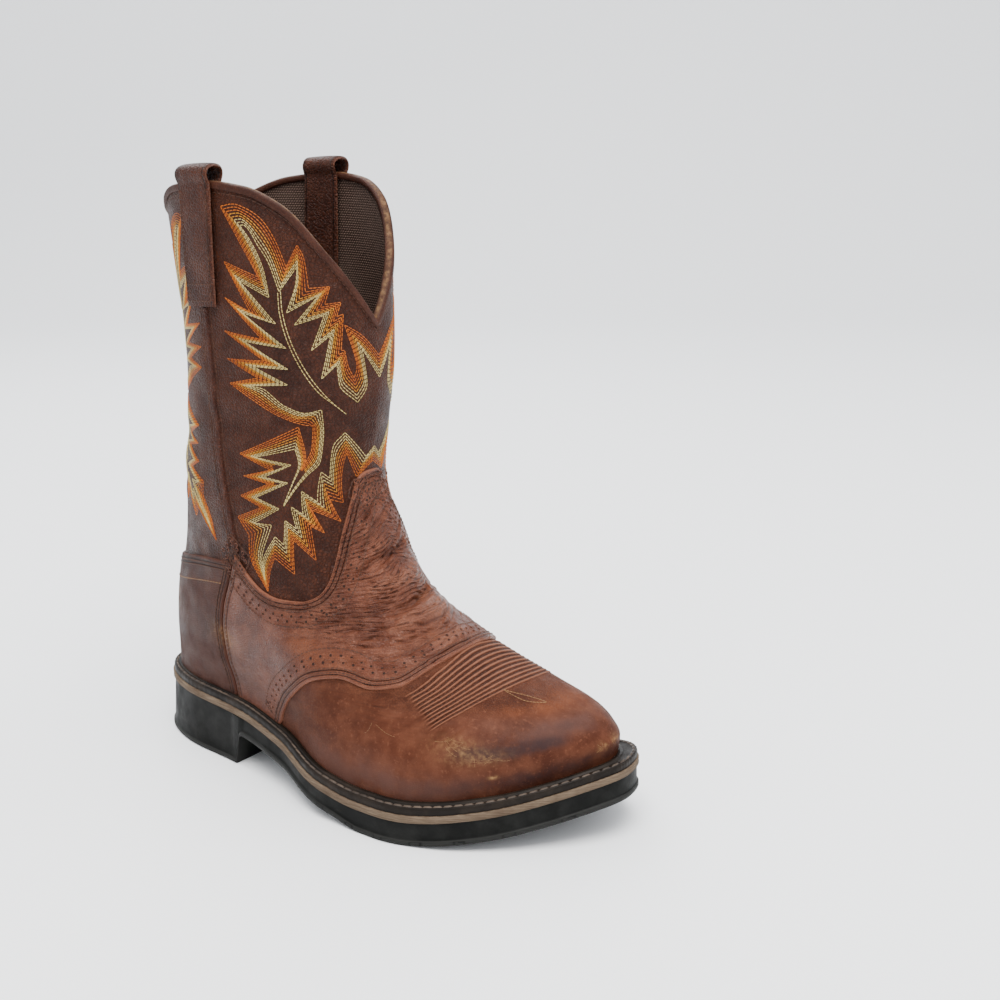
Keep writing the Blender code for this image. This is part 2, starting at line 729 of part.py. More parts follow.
def make_collar_binding():
    turns = full_turns(half_turns())
    edge, out, down = collar_frames(turns)
    near, far = LAYER_GAP, LAYER_GAP + BINDING_THICKNESS
    # Round the section, outside first: out of the leather, and down from its edge
    section = [
        (near, BINDING_DEPTH),
        (far, BINDING_DEPTH),
        (far, -LAYER_GAP),
        (-WALL / 2, -far),
        (-WALL - far, -LAYER_GAP),
        (-WALL - far, BINDING_DEPTH),
        (-WALL - near, BINDING_DEPTH),
        (-WALL - near, -near),
        (near, -near),
    ]
    rings = [edge + out * outwards + down * depth for outwards, depth in section]
    count = len(turns)
    faces = []
    for row in range(len(rings)):
        after = (row + 1) % len(rings)
        faces += band_faces([row * count + i for i in range(count)], [after * count + i for i in range(count)])
    solid("collar_binding", np.concatenate(rings), faces, (0.26, 0.15, 0.10), 0.55)


# Pull straps
STRAP_ACROSS = 5
STRAP_LEG_ROWS = 7
STRAP_ARCH_ROWS = 7
STRAP_BULGE = 0.0054        # the loop stands this much wider than its legs
STRAP_CLEAR = 2 * LAYER_GAP + BINDING_THICKNESS
STRAP_BOTTOM_LEVEL = 2 - STRAP_OUTSIDE / (SHAFT_HEIGHT - ANKLE_HEIGHT)
STRAP_BOTTOM_ALONG = 0.268
STRAP_TOP_ALONG = 0.279


def turn_at(x, level, outer):
    """The turn at which the upper's ring crosses a place along the sole, by halving."""
    low, high = 0.0, math.pi
    for _ in range(40):
        middle = (low + high) / 2
        if upper_point(middle if outer else 2 * math.pi - middle, level)[0] < x:
            low = middle
        else:
            high = middle
    return low if outer else 2 * math.pi - low


def strap_turns(level, outer):
    """The turns across the strap's width at one level of the shaft."""
    top_share = (level - STRAP_BOTTOM_LEVEL) / (2 - STRAP_BOTTOM_LEVEL)
    centre = SOLE_LENGTH * (STRAP_BOTTOM_ALONG + (STRAP_TOP_ALONG - STRAP_BOTTOM_ALONG) * top_share)
    ends = [turn_at(centre + side * STRAP_WIDTH / 2, level, outer) for side in (-1, 1)]
    return np.linspace(ends[0], ends[1], STRAP_ACROSS)


def strap_leg(levels, offsets, outer):
    rows = []
    for level, out in zip(levels, offsets):
        turns = strap_turns(level, outer)
        rows.append(upper_surface(turns, np.full_like(turns, level), np.full_like(turns, out)))
    return rows


def strap_face(lift, outer):
    """Rows of points up the outside, over the loop and down the inside; lift is the thickness so far."""
    shaft = SHAFT_HEIGHT - ANKLE_HEIGHT
    outside = np.linspace(STRAP_BOTTOM_LEVEL, 2.0, STRAP_LEG_ROWS)
    inside = np.linspace(2.0, 2 - STRAP_INSIDE / shaft, STRAP_LEG_ROWS)
    climb = np.clip((outside - outside[0]) / (outside[-2] - outside[0]), 0, 1)
    fall = np.clip((inside - inside[-1]) / (inside[1] - inside[-1]), 0, 1)
    out_offsets = LAYER_GAP + (STRAP_CLEAR - LAYER_GAP) * climb + lift
    in_offsets = -WALL - LAYER_GAP - (STRAP_CLEAR - LAYER_GAP) * fall - lift
    rows = strap_leg(outside, out_offsets, outer)
    edge, out, _ = collar_frames(strap_turns(2.0, outer))
    middle = (out_offsets[-1] + in_offsets[0]) / 2
    half_span = (out_offsets[-1] - in_offsets[0]) / 2
    for i in range(1, STRAP_ARCH_ROWS + 1):
        angle = math.pi * i / (STRAP_ARCH_ROWS + 1)
        wider = half_span + STRAP_BULGE * math.sin(angle)
        rise = (LAYER_GAP + BINDING_THICKNESS + STRAP_LOOP_RISE + lift) * math.sin(angle)
        rows.append(edge + out * (middle + wider * math.cos(angle)) + np.array([0, 0, rise]))
    rows += strap_leg(inside, in_offsets, outer)
    return np.array(rows)


def make_pull_strap(name, outer):
    slab(name, strap_face(0.0, outer), strap_face(STRAP_THICKNESS, outer), (0.12, 0.05, 0.035), 0.5)


make_outsole()
make_midsole()
make_welt()
make_insole()
make_upper()
make_saddle_vamp()
make_counter()
make_side_seam("side_seam_outer", 50, 115, -SIDE_REACH, 0.0)
make_side_seam("side_seam_inner", 245, 310, 0.0, SIDE_REACH)
make_collar_binding()
make_pull_strap("pull_strap_outer", True)
make_pull_strap("pull_strap_inner", False)
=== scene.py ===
# %% [markdown]
# # A western work boot in Blender
#
# This lesson dresses the right boot of a pair. The CAD model gives the real shape and size. Here it
# gets what the eye looks for: creased leather, coloured embroidery, rows of thread, punched holes and
# worn edges. All lengths are in metres, and the toe points along +X.

# %% Load the CAD model
import math

import bpy
import numpy as np
from mathutils import Matrix, Vector


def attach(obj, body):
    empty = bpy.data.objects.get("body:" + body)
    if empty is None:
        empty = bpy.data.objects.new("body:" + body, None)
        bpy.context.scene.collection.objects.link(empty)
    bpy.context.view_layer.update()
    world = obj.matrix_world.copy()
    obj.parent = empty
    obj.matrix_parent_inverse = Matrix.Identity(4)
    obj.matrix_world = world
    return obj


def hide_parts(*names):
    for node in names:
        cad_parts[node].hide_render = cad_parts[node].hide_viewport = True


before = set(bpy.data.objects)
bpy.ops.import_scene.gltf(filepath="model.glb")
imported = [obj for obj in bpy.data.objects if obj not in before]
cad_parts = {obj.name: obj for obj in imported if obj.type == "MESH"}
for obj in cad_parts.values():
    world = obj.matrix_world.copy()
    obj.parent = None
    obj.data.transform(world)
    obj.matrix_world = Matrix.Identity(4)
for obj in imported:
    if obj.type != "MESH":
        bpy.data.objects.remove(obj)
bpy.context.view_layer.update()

print("CAD nodes:", len(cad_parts))

# %% [markdown]
# ## The boot's own sizes
#
# The leather and the thread have to lie exactly on the boot. So the same short tables that made the
# CAD model are written out again: the plan of the sole, the height along it, and the rings of the
# foot and the shaft. Each number is a share of a named size.

# %% Sizes
SOLE_LENGTH = 0.303
BALL_WIDTH = 0.113
HEEL_WIDTH = 0.069
TOE_SWING = 0.012
HEEL_STACK = 0.029
FOREPART_THICKNESS = 0.012
WAIST_THICKNESS = 0.010
TOE_SPRING = 0.021
HEEL_FLARE = 0.0018
HEEL_BREAST = 0.081
BREAST_SLANT = 0.004
PANEL_DEPTH = 0.001
PANEL_RIM = 0.0026
MIDSOLE_THICKNESS = 0.0038
WELT_THICKNESS = 0.0042
WELT_EDGE_STEP = 0.0008
WELT_SHELF = 0.0065
TOE_SHELF = 0.0110
WALL = 0.0024
LAYER_GAP = 0.0003
INSOLE_THICKNESS = 0.0075
ANKLE_HEIGHT = 0.166
SHAFT_HEIGHT = 0.317
SHAFT_DEPTH = 0.133
SHAFT_WIDTH = 0.096
FRONT_SCALLOP = 0.070
BACK_SCALLOP = 0.026
SHAFT_LEAN = 0.004
HEEL_CENTRE = HEEL_BREAST / 2
OVERLAY_THICKNESS = 0.0013
FULL_TURN = 2 * math.pi

# The sole's plan. along: share of its length. The other columns: shares of heel and ball width.
OUTLINE = [
    # along, outer_heel, outer_ball, inner_heel, inner_ball
    (0.00, 0.00, 0.00, 0.00, 0.00),
    (0.02, 0.22, 0.00, 0.23, 0.00),
    (0.06, 0.355, 0.00, 0.375, 0.00),
    (0.13, 0.47, 0.00, 0.48, 0.00),
    (0.25, 0.50, 0.03, 0.46, 0.01),
    (0.40, 0.10, 0.36, 0.08, 0.23),
    (0.54, 0.00, 0.54, 0.00, 0.355),
    (0.66, 0.00, 0.55, 0.00, 0.45),
    (0.76, 0.00, 0.485, 0.00, 0.485),
    (0.86, 0.00, 0.335, 0.00, 0.465),
    (0.93, 0.00, 0.18, 0.00, 0.40),
    (0.975, 0.00, 0.045, 0.00, 0.30),
    (1.00, 0.00, 0.00, 0.00, 0.00),
]
SOLE_TOP = [
    # along, heel_stack, forepart, toe_spring
    (0.00, 1.03, 0.00, 0.00),
    (0.28, 0.98, 0.00, 0.00),
    (0.40, 0.72, 0.24, 0.00),
    (0.50, 0.32, 0.66, 0.00),
    (0.62, 0.00, 1.00, 0.00),
    (0.70, 0.00, 1.00, 0.00),
    (0.82, 0.00, 1.00, 0.22),
    (1.00, 0.00, 1.00, 1.00),
]
FOOT_RINGS = [
    # level, back, back_rise, front, front_rise, outer, inner, sole_like, bluntness
    (0.00, 0.0000, 0.000, 0.000, 0.000, 0.480, 0.440, 1.00, 2.4),
    (0.10, 0.0030, 0.100, -0.005, 0.075, 0.490, 0.450, 0.95, 2.4),
    (0.20, 0.0065, 0.200, 0.008, 0.130, 0.480, 0.450, 0.82, 2.4),
    (0.30, 0.0110, 0.310, 0.037, 0.176, 0.460, 0.435, 0.64, 2.35),
    (0.40, 0.0165, 0.420, 0.084, 0.210, 0.440, 0.415, 0.46, 2.25),
    (0.50, 0.0225, 0.525, 0.147, 0.245, 0.420, 0.400, 0.32, 2.1),
    (0.60, 0.0280, 0.625, 0.226, 0.298, 0.400, 0.385, 0.20, 1.98),
    (0.70, 0.0340, 0.720, 0.307, 0.373, 0.385, 0.375, 0.11, 1.95),
    (0.80, 0.0415, 0.815, 0.375, 0.490, 0.375, 0.370, 0.05, 1.95),
    (0.90, 0.0520, 0.905, 0.431, 0.705, 0.378, 0.372, 0.01, 2.0),
    (1.00, 0.0670, 1.000, 0.472, 1.000, 0.385, 0.380, 0.00, 2.05),
]
SHAFT_RINGS = [
    # level, back, front, outer, inner
    (1.25, 0.245, 1.145, 0.466, 0.466),
    (1.50, 0.262, 1.172, 0.484, 0.484),
    (1.75, 0.238, 1.178, 0.495, 0.495),
    (2.00, 0.206, 1.178, 0.500, 0.500),
]
SHAFT_BLUNTNESS = 2.05
SCALLOPS = [
    # round, front_dip, back_dip
    (0.00, 1.00, 0.00),
    (0.08, 0.76, 0.00),
    (0.17, 0.50, 0.00),
    (0.30, 0.15, 0.00),
    (0.40, 0.03, 0.00),
    (0.50, 0.00, 0.00),
    (0.65, 0.00, 0.10),
    (0.83, 0.00, 0.56),
    (1.00, 0.00, 1.00),
]
print("sole", round(SOLE_LENGTH * 1000), "mm, shaft", round(SHAFT_HEIGHT * 1000), "mm")

# %% [markdown]
# ## Smooth curves through the tables
#
# A plain cubic curve would swing past its points and give the leather bumps that nobody asked for.
# This one is monotone: between two rows it never leaves their values. It also works on whole arrays
# at once, which is what makes a mesh of a hundred thousand points quick to build.


# %% Smooth tables
def smooth_table(places, values):
    """A smooth curve through the rows of a table that never swings past its own values."""
    places = np.asarray(places, float)
    values = np.asarray(values, float)
    steps = np.diff(places)
    slopes = np.diff(values) / steps
    tangents = np.zeros_like(values)
    tangents[0], tangents[-1] = slopes[0], slopes[-1]
    for i in range(1, len(values) - 1):
        if slopes[i - 1] * slopes[i] > 0:
            before, after = steps[i - 1], steps[i]
            tangents[i] = 3 * (before + after) / (
                (2 * after + before) / slopes[i - 1] + (after + 2 * before) / slopes[i]
            )

    def at(place):
        place = np.clip(place, places[0], places[-1])
        i = np.clip(np.searchsorted(places, place, side="right") - 1, 0, len(steps) - 1)
        t = (place - places[i]) / steps[i]
        return (
            (1 + 2 * t) * (1 - t) ** 2 * values[i]
            + t * (1 - t) ** 2 * steps[i] * tangents[i]
            + t * t * (3 - 2 * t) * values[i + 1]
            + t * t * (t - 1) * steps[i] * tangents[i + 1]
        )

    return at


def smooth_step(value, start, end):
    share = np.clip((value - start) / (end - start), 0, 1)
    return share * share * (3 - 2 * share)


def run_length(points):
    """How far along a line of points each of them lies, from 0 at the first."""
    return np.concatenate([[0], np.cumsum(np.linalg.norm(np.diff(points, axis=0), axis=1))])


def outline_side(heel_column, ball_column, side):
    turns = [math.acos(1 - 2 * row[0]) for row in OUTLINE]
    reach = [side * (row[heel_column] * HEEL_WIDTH + row[ball_column] * BALL_WIDTH) for row in OUTLINE]
    reach[-1] = TOE_SWING
    return smooth_table(turns, reach)


OUTER_SIDE = outline_side(1, 2, -1)
INNER_SIDE = outline_side(3, 4, 1)
SOLE_TOP_AT = smooth_table(
    [row[0] for row in SOLE_TOP],
    [row[1] * HEEL_STACK + row[2] * FOREPART_THICKNESS + row[3] * TOE_SPRING for row in SOLE_TOP],
)
MIDSOLE_TOP = LAYER_GAP + MIDSOLE_THICKNESS
WELT_TOP = MIDSOLE_TOP + LAYER_GAP + WELT_THICKNESS


def plan_point(turn):
    """A point of the sole's plan. turn is 0 at the back and pi at the toe, by way of the outer side."""
    turn = np.mod(turn, FULL_TURN)
    half = np.where(turn <= math.pi, turn, FULL_TURN - turn)
    side = np.where(turn <= math.pi, OUTER_SIDE(half), INNER_SIDE(half))
    return SOLE_LENGTH * (1 - np.cos(half)) / 2, side


def sole_outline(turn, inset=0.0):
    """The sole's plan, moved inwards by inset at right angles to its edge."""
    x, y = plan_point(turn)
    reach = 0.03
    ahead, behind = plan_point(turn + reach), plan_point(turn - reach)
    along_x, along_y = ahead[0] - behind[0], ahead[1] - behind[1]
    length = np.hypot(along_x, along_y)
    return x - inset * along_y / length, y + inset * along_x / length


def sole_top(x):
    return SOLE_TOP_AT(x / SOLE_LENGTH)


def feather_height(x):
    """Height of the upper's lower edge, which stands on the welt."""
    return sole_top(x) + WELT_TOP + LAYER_GAP


def shelf(turn):
    """How far the upper's lower edge stands in from the sole's edge."""
    return WELT_SHELF + (TOE_SHELF - WELT_SHELF) * np.clip((1 - np.cos(turn)) / 2, 0, 1) ** 4


print("welt top at the toe:", round(float(feather_height(SOLE_LENGTH)) * 1000, 1), "mm")

# %% [markdown]
# ## The skin of the boot
#
# Any place on the leather has two numbers: turn, how far round the boot it is, and level, how far up.
# Level 0 is the edge on the welt, 1 the ankle and 2 the collar. One function turns the two into a
# point in space. With that, a seam is just a line of turns and levels, and it always lies on the boot.

# %% Rings of the upper
FEATHER_BACK = float(sole_outline(np.float64(0.0), WELT_SHELF)[0])
FEATHER_FRONT = float(sole_outline(np.float64(math.pi), TOE_SHELF)[0])
RING_LEVELS = [row[0] for row in FOOT_RINGS] + [row[0] for row in SHAFT_RINGS]
FOOT_LEVELS = [row[0] for row in FOOT_RINGS]


def ring_width(foot_column, shaft_column):
    foot = [row[foot_column] * BALL_WIDTH for row in FOOT_RINGS]
    return smooth_table(RING_LEVELS, foot + [row[shaft_column] * SHAFT_WIDTH for row in SHAFT_RINGS])


def ring_end(edge, side, foot_column, shaft_column):
    """Where the rings end at the back or at the front, for every level."""
    foot = [edge + side * row[foot_column] * SOLE_LENGTH for row in FOOT_RINGS]
    return smooth_table(RING_LEVELS, foot + [row[shaft_column] * SHAFT_DEPTH for row in SHAFT_RINGS])


RING_BACK = ring_end(FEATHER_BACK, 1, 1, 1)
RING_FRONT = ring_end(FEATHER_FRONT, -1, 3, 2)
RING_BACK_RISE = smooth_table(FOOT_LEVELS, [row[2] for row in FOOT_RINGS])
RING_FRONT_RISE = smooth_table(FOOT_LEVELS, [row[4] for row in FOOT_RINGS])
RING_OUTER = ring_width(5, 3)
RING_INNER = ring_width(6, 4)
RING_SOLE_LIKE = smooth_table(RING_LEVELS, [row[7] for row in FOOT_RINGS] + [0.0] * len(SHAFT_RINGS))
RING_BLUNTNESS = smooth_table(
    RING_LEVELS,
    [row[8] for row in FOOT_RINGS] + [SHAFT_BLUNTNESS] * len(SHAFT_RINGS),
)
RING_LEAN = smooth_table([0.0, 0.6, 1.0, 2.0], [0.0, TOE_SWING * 0.4, SHAFT_LEAN, SHAFT_LEAN])
COLLAR_DIP = smooth_table(
    [row[0] for row in SCALLOPS],
    [row[1] * FRONT_SCALLOP + row[2] * BACK_SCALLOP for row in SCALLOPS],
)


def collar_height(turn):
    turn = np.mod(turn, FULL_TURN)
    return SHAFT_HEIGHT - COLLAR_DIP(np.abs(turn - math.pi) / math.pi)


def upper_point(turn, level):
    """A point of the upper's plain outer surface, from the sole's back, without creases."""
    turn, level = np.broadcast_arrays(np.asarray(turn, float), np.asarray(level, float))
    plan_x, plan_y = sole_outline(turn, shelf(turn))
    share = (plan_x - FEATHER_BACK) / (FEATHER_FRONT - FEATHER_BACK)
    back, front = RING_BACK(level), RING_FRONT(level)
    sole_like = RING_SOLE_LIKE(level)
    outer_side = np.sin(turn) > 0
    power = 2 / RING_BLUNTNESS(level)
    oval_share = (1 - np.sign(np.cos(turn)) * np.abs(np.cos(turn)) ** power) / 2
    half_width = np.where(outer_side, RING_OUTER(level), RING_INNER(level))
    oval_y = np.where(outer_side, -1, 1) * half_width * np.abs(np.sin(turn)) ** power + RING_LEAN(level)
    taper = np.minimum(1.0, half_width / np.where(outer_side, RING_OUTER(0.0), RING_INNER(0.0)))
    along = sole_like * share + (1 - sole_like) * oval_share
    x = back + (front - back) * along
    y = sole_like * plan_y * taper + (1 - sole_like) * oval_y
    heel_edge, toe_edge = feather_height(FEATHER_BACK), feather_height(FEATHER_FRONT)
    back_z = heel_edge + RING_BACK_RISE(level) * (ANKLE_HEIGHT - heel_edge)
    front_z = toe_edge + RING_FRONT_RISE(level) * (ANKLE_HEIGHT - toe_edge)
    bend = feather_height(plan_x) - heel_edge * (1 - share) - toe_edge * share
    foot_z = back_z * (1 - along) + front_z * along + sole_like * bend
    shaft_z = ANKLE_HEIGHT + np.clip(level - 1, 0, 1) * (collar_height(turn) - ANKLE_HEIGHT)
    return np.stack([x, y, np.where(level <= 1, foot_z, shaft_z)], -1)


def upper_normal(turn, level):
    """The direction out of the leather."""
    small = 0.004
    around = upper_point(turn + small, level) - upper_point(turn - small, level)
    high, low = np.minimum(level + small, 2.0), np.maximum(level - small, 0.0)
    upwards = upper_point(turn, high) - upper_point(turn, low)
    normal = np.cross(around, upwards)
    return normal / np.linalg.norm(normal, axis=-1, keepdims=True)


def level_at(turn, height):
    """The level of a place that is given by its turn and its height above the floor, by halving."""
    turn, height = np.broadcast_arrays(np.asarray(turn, float), np.asarray(height, float))
    low, high = np.zeros_like(turn), np.full_like(turn, 2.0)
    for _ in range(26):
        middle = (low + high) / 2
        below = upper_point(turn, middle)[..., 2] < height
        low, high = np.where(below, middle, low), np.where(below, high, middle)
    return (low + high) / 2


print("ankle front at", np.round(upper_point(math.pi, 1.0) * 1000, 1), "mm from the sole's back")

# %% [markdown]
# ## Creases, placed one by one
#
# Leather that has been walked in keeps its folds. Each one here is a stroke: a few places on the
# boot, a width and a height. A height below zero is a trough, and the leather piles up a little on
# both sides of it. A fan is a family of strokes between its first and its last one, each moved a
# little at random. Sculpting by hand would work as well, but a table can be read and changed.

# %% Strokes and fans
STROKES = [
    # height mm, width mm, places as (degrees round, level)
    (-2.4, 2.6, ((198, 0.90), (186, 0.895), (171, 0.89), (154, 0.87), (146, 0.845))),
    (-0.8, 1.8, ((208, 0.96), (192, 0.955), (176, 0.94), (160, 0.905), (150, 0.875))),
    (-0.6, 1.6, ((206, 1.01), (190, 1.01), (174, 0.99), (160, 0.95))),
    (1.6, 6.0, ((206, 0.850), (190, 0.850), (168, 0.845), (146, 0.815))),
    (-2.4, 2.6, ((206, 0.80), (190, 0.808), (179, 0.805), (162, 0.79), (152, 0.765))),
    (2.9, 6.5, ((212, 0.745), (192, 0.766), (174, 0.772), (156, 0.745), (142, 0.705))),
    (-0.6, 1.6, ((192, 0.785), (178, 0.775), (140, 0.725), (108, 0.63))),
    (-0.6, 1.7, ((190, 0.755), (175, 0.75), (141, 0.69), (112, 0.60))),
    (-0.8, 1.9, ((192, 0.725), (172, 0.72), (138, 0.635), (117, 0.56))),
    (1.2, 6.0, ((204, 0.70), (184, 0.70), (164, 0.68), (146, 0.63))),
    (-1.0, 3.0, ((206, 0.67), (188, 0.672), (170, 0.665), (154, 0.63))),
    (0.7, 6.0, ((150, 0.60), (140, 0.58), (128, 0.53), (116, 0.45))),
    (-0.6, 1.6, ((134, 0.505), (126, 0.488), (114, 0.434), (98, 0.28))),
    (-0.5, 1.4, ((128, 0.45), (121, 0.409), (108, 0.326), (103, 0.22))),
    (-0.5, 1.4, ((131, 0.39), (125, 0.351), (118, 0.248), (115, 0.10))),
    (-0.4, 1.4, ((130, 0.34), (124, 0.301), (116, 0.165))),
    (-0.4, 1.3, ((126, 0.40), (117, 0.33), (109, 0.25))),
    (-0.7, 6.0, ((78, 1.18), (93, 1.19), (104, 1.193), (116, 1.215), (128, 1.24))),
    (0.5, 7.0, ((76, 1.27), (95, 1.27), (114, 1.28))),
    (-0.7, 6.0, ((20, 1.10), (45, 1.12), (68, 1.09))),
    (-0.8, 6.0, ((-25, 0.96), (0, 0.97), (26, 0.95), (50, 0.90))),
    (0.7, 8.0, ((-30, 1.25), (0, 1.26), (30, 1.24))),
    (-0.8, 6.0, ((240, 1.28), (262, 1.31), (285, 1.30))),
    (-0.9, 5.0, ((300, 1.05), (318, 1.09), (340, 1.08))),
]
FANS = [
    # count, height mm, width mm, first stroke, last stroke
    (26, -0.42, 1.05, ((206, 1.00), (176, 0.97), (150, 0.92)), ((200, 0.69), (166, 0.665), (124, 0.575))),
    (20, -0.34, 1.05, ((150, 0.84), (134, 0.78), (118, 0.71)), ((156, 0.62), (130, 0.575), (104, 0.50))),
    (9, -0.34, 1.3, ((112, 0.66), (100, 0.62), (88, 0.56)), ((120, 0.54), (104, 0.48), (90, 0.40))),
    (12, -0.45, 1.4, ((208, 0.98), (226, 0.88), (242, 0.80)), ((204, 0.70), (228, 0.64), (252, 0.56))),
    (12, -0.34, 1.1, ((132, 0.50), (120, 0.44), (106, 0.35)), ((136, 0.37), (126, 0.27), (119, 0.14))),
]
WANDER = 0.35


def stroke_distance(points, line):
    """For each point: how far it is from a line of points, and how far along the line (0 to 1)."""
    starts = run_length(line)
    lengths = np.diff(starts)
    best = np.full(len(points), 1e9)
    place = np.zeros(len(points))
    for i in range(len(line) - 1):
        run = line[i + 1] - line[i]
        share = np.clip(((points - line[i]) @ run) / (lengths[i] ** 2), 0, 1)
        distance = np.linalg.norm(points - line[i] - share[:, None] * run, axis=1)
        nearer = distance < best
        best = np.where(nearer, distance, best)
        place = np.where(nearer, starts[i] + share * lengths[i], place)
    return best, place / starts[-1]


def bend_line(places, count=14):
    """A smooth run of turns and levels through a few places."""
    places = np.array(places, float)
    steps = np.arange(len(places))
    dense = np.linspace(0, len(places) - 1, count)
    turns = smooth_table(steps, np.radians(places[:, 0]))(dense)
    return turns, smooth_table(steps, places[:, 1])(dense)


def all_strokes():
    """Every stroke as height, width and a line of points on the plain surface."""
    dice = np.random.default_rng(7)
    strokes = []
    for height, width, places in STROKES:
        strokes.append((height / 1000, width / 1000, upper_point(*bend_line(places))))
    for count, height, width, first, last in FANS:
        first, last = np.array(first, float), np.array(last, float)
        gap = np.abs(last - first).mean(axis=0) / count
        for i in range(count):
            share = (i + dice.uniform(-WANDER, WANDER)) / (count - 1)
            places = first + (last - first) * share + dice.uniform(-1.2, 1.2, first.shape) * gap
            ends = dice.uniform(-0.2, 0.2)
            places[0] += (places[1] - places[0]) * (0.15 + ends)
            places[-1] += (places[-2] - places[-1]) * (0.15 - ends)
            scale = dice.uniform(0.5, 1.25)
            line = upper_point(*bend_line(places))
            strokes.append((height * scale / 1000, width * dice.uniform(0.8, 1.3) / 1000, line))
    return strokes


CREASE_STROKES = all_strokes()
print(len(CREASE_STROKES), "creases and folds")

# %% [markdown]
# ## Ribs across the vamp
#
# A row of raised ribs runs across the front of the foot. They fan out a little towards the middle.
# They could be strokes too. But a number that counts the ribs from the saddle down is better: its cosine
# gives every rib at once, in the mesh and in the material, and halfway numbers are the valleys.

# %% Ribs
RIB_COUNT = 12
RIB_HEIGHT = 0.0005
RIB_START = 122
RIB_END = 240
RIB_FIRST = [
    # degrees round, level
    (117, 0.420),
    (125, 0.475),
    (134, 0.525),
    (146, 0.582),
    (160, 0.632),
    (176, 0.652),
    (192, 0.650),
    (206, 0.620),
    (222, 0.555),
    (240, 0.460),
]
RIB_LAST = [
    # degrees round, level
    (117, 0.270),
    (126, 0.345),
    (134, 0.403),
    (146, 0.462),
    (160, 0.502),
    (174, 0.517),
    (188, 0.512),
    (202, 0.485),
    (216, 0.430),
    (240, 0.300),
]
FIRST_RIB = np.polynomial.Polynomial.fit(*zip(*RIB_FIRST), deg=5)
LAST_RIB = np.polynomial.Polynomial.fit(*zip(*RIB_LAST), deg=5)


def rib_place(turn, level):
    """The number of the rib at a place, counted from the saddle, and how much of a rib is there."""
    degrees = np.mod(np.degrees(turn), 360)
    measured = np.clip(degrees, RIB_START, RIB_END)
    first, last = FIRST_RIB(measured), LAST_RIB(measured)
    number = (first - level) / (first - last) * (RIB_COUNT - 1)
    across = smooth_step(number, -0.5, 0.0) * smooth_step(RIB_COUNT - 1 - number, -0.5, 0.0)
    along = smooth_step(degrees, RIB_START, RIB_START + 4) * smooth_step(-degrees, -RIB_END, 4 - RIB_END)
    return number, across * along


def rib_lift(turn, level):
    number, share = rib_place(turn, level)
    return RIB_HEIGHT * share * (0.5 + 0.5 * np.cos(FULL_TURN * number))


def rib_path(number, count=70):
    """The line of one rib, or of the valley between two for a number and a half."""
    degrees = np.linspace(RIB_START + 3, RIB_END - 3, count)
    first, last = FIRST_RIB(degrees), LAST_RIB(degrees)
    return np.radians(degrees), first + (last - first) * number / (RIB_COUNT - 1)


def near_line(flat, line, reach):
    return np.all((flat > line.min(axis=0) - reach) & (flat < line.max(axis=0) + reach), axis=1)


def relief_and_folds(points):
    """How far the leather stands out of its plain surface, and how deep in a fold it lies (0 to 1), which
    sets the shade painted into the fold.
    """
    flat = points.reshape(-1, 3)
    lift, fold = np.zeros(len(flat)), np.zeros(len(flat))
    for height, width, line in CREASE_STROKES:
        near = near_line(flat, line, 3.2 * width)
        if not near.any():
            continue
        distance, place = stroke_distance(flat[near], line)
        fade = np.sqrt(np.clip(4 * place * (1 - place), 0, 1))
        core = np.exp(-((distance / width) ** 2))
        bank = np.exp(-(((distance - 1.9 * width) / width) ** 2))
        lift[near] += height * fade * (core - 0.35 * bank)
        # Troughs get painted shade, stronger the deeper they are.
        if height < 0:
            depth = min(0.9, -height / 0.0017)
            line_width = min(0.45 * width, 0.0007)
            fold[near] += depth * fade * np.exp(-((distance / line_width) ** 2))
    shape = points.shape[:-1]
    return lift.reshape(shape), np.clip(fold, 0, 1).reshape(shape)


def relief(points):
    return relief_and_folds(points)[0]


def skin(turn, level, out=0.0):
    """A point of the creased leather, moved out by a thickness."""
    turn, level = np.broadcast_arrays(np.asarray(turn, float), np.asarray(level, float))
    base = upper_point(turn, level)
    offset = np.asarray(out) + relief(base) + rib_lift(turn, level)
    return base + upper_normal(turn, level) * offset[..., None]


print("ribs:", RIB_COUNT)

# %% [markdown]
# ## Lines on the boot's side
#
# The panels of the upper meet along curves that are easiest to draw in the side view. A saddle covers
# the instep, and a counter wraps the heel. These are the same lines as in the CAD model, as shares of
# the sole's length and of the ankle's height. Halving then finds where the skin crosses each line.

# %% Panel lines
SEAM_LINE = [
    # along, rise
    (0.262, 0.15),
    (0.254, 0.27),
    (0.243, 0.36),
    (0.240, 0.47),
    (0.249, 0.56),
    (0.272, 0.66),
    (0.290, 0.74),
]
SADDLE_TOP_LINE = [
    # along, rise
    (0.290, 0.740),
    (0.325, 0.680),
    (0.362, 0.642),
    (0.400, 0.628),
    (0.440, 0.630),
    (0.468, 0.652),
    (0.481, 0.700),
    (0.486, 0.780),
    (0.4865, 0.860),
    (0.486, 0.930),
    (0.486, 0.980),
    (0.490, 1.015),
    (0.502, 1.035),
]
SADDLE_FRONT_LINE = [
    # along, rise
    (0.386, 0.150),
    (0.396, 0.230),
    (0.415, 0.285),
    (0.448, 0.345),
    (0.500, 0.415),
    (0.555, 0.435),
    (0.610, 0.422),
    (0.655, 0.432),
    (0.683, 0.475),
    (0.698, 0.520),
    (0.712, 0.580),
]
COUNTER_TOP_LINE = [
    # along, rise
    (0.280, 0.710),
    (0.190, 0.690),
    (0.078, 0.645),
    (-0.020, 0.590),
]
SHAFT_SEAM_LINE = [
    # along, upwards
    (0.292, 0.00),
    (0.284, 0.15),
    (0.276, 0.31),
    (0.272, 0.63),
    (0.272, 1.00),
]
SHAFT_SEAM_FOOT = 0.755
STRAP_OUTSIDE = 0.061
STRAP_INSIDE = 0.060
SEAM_CLEAR = 0.001
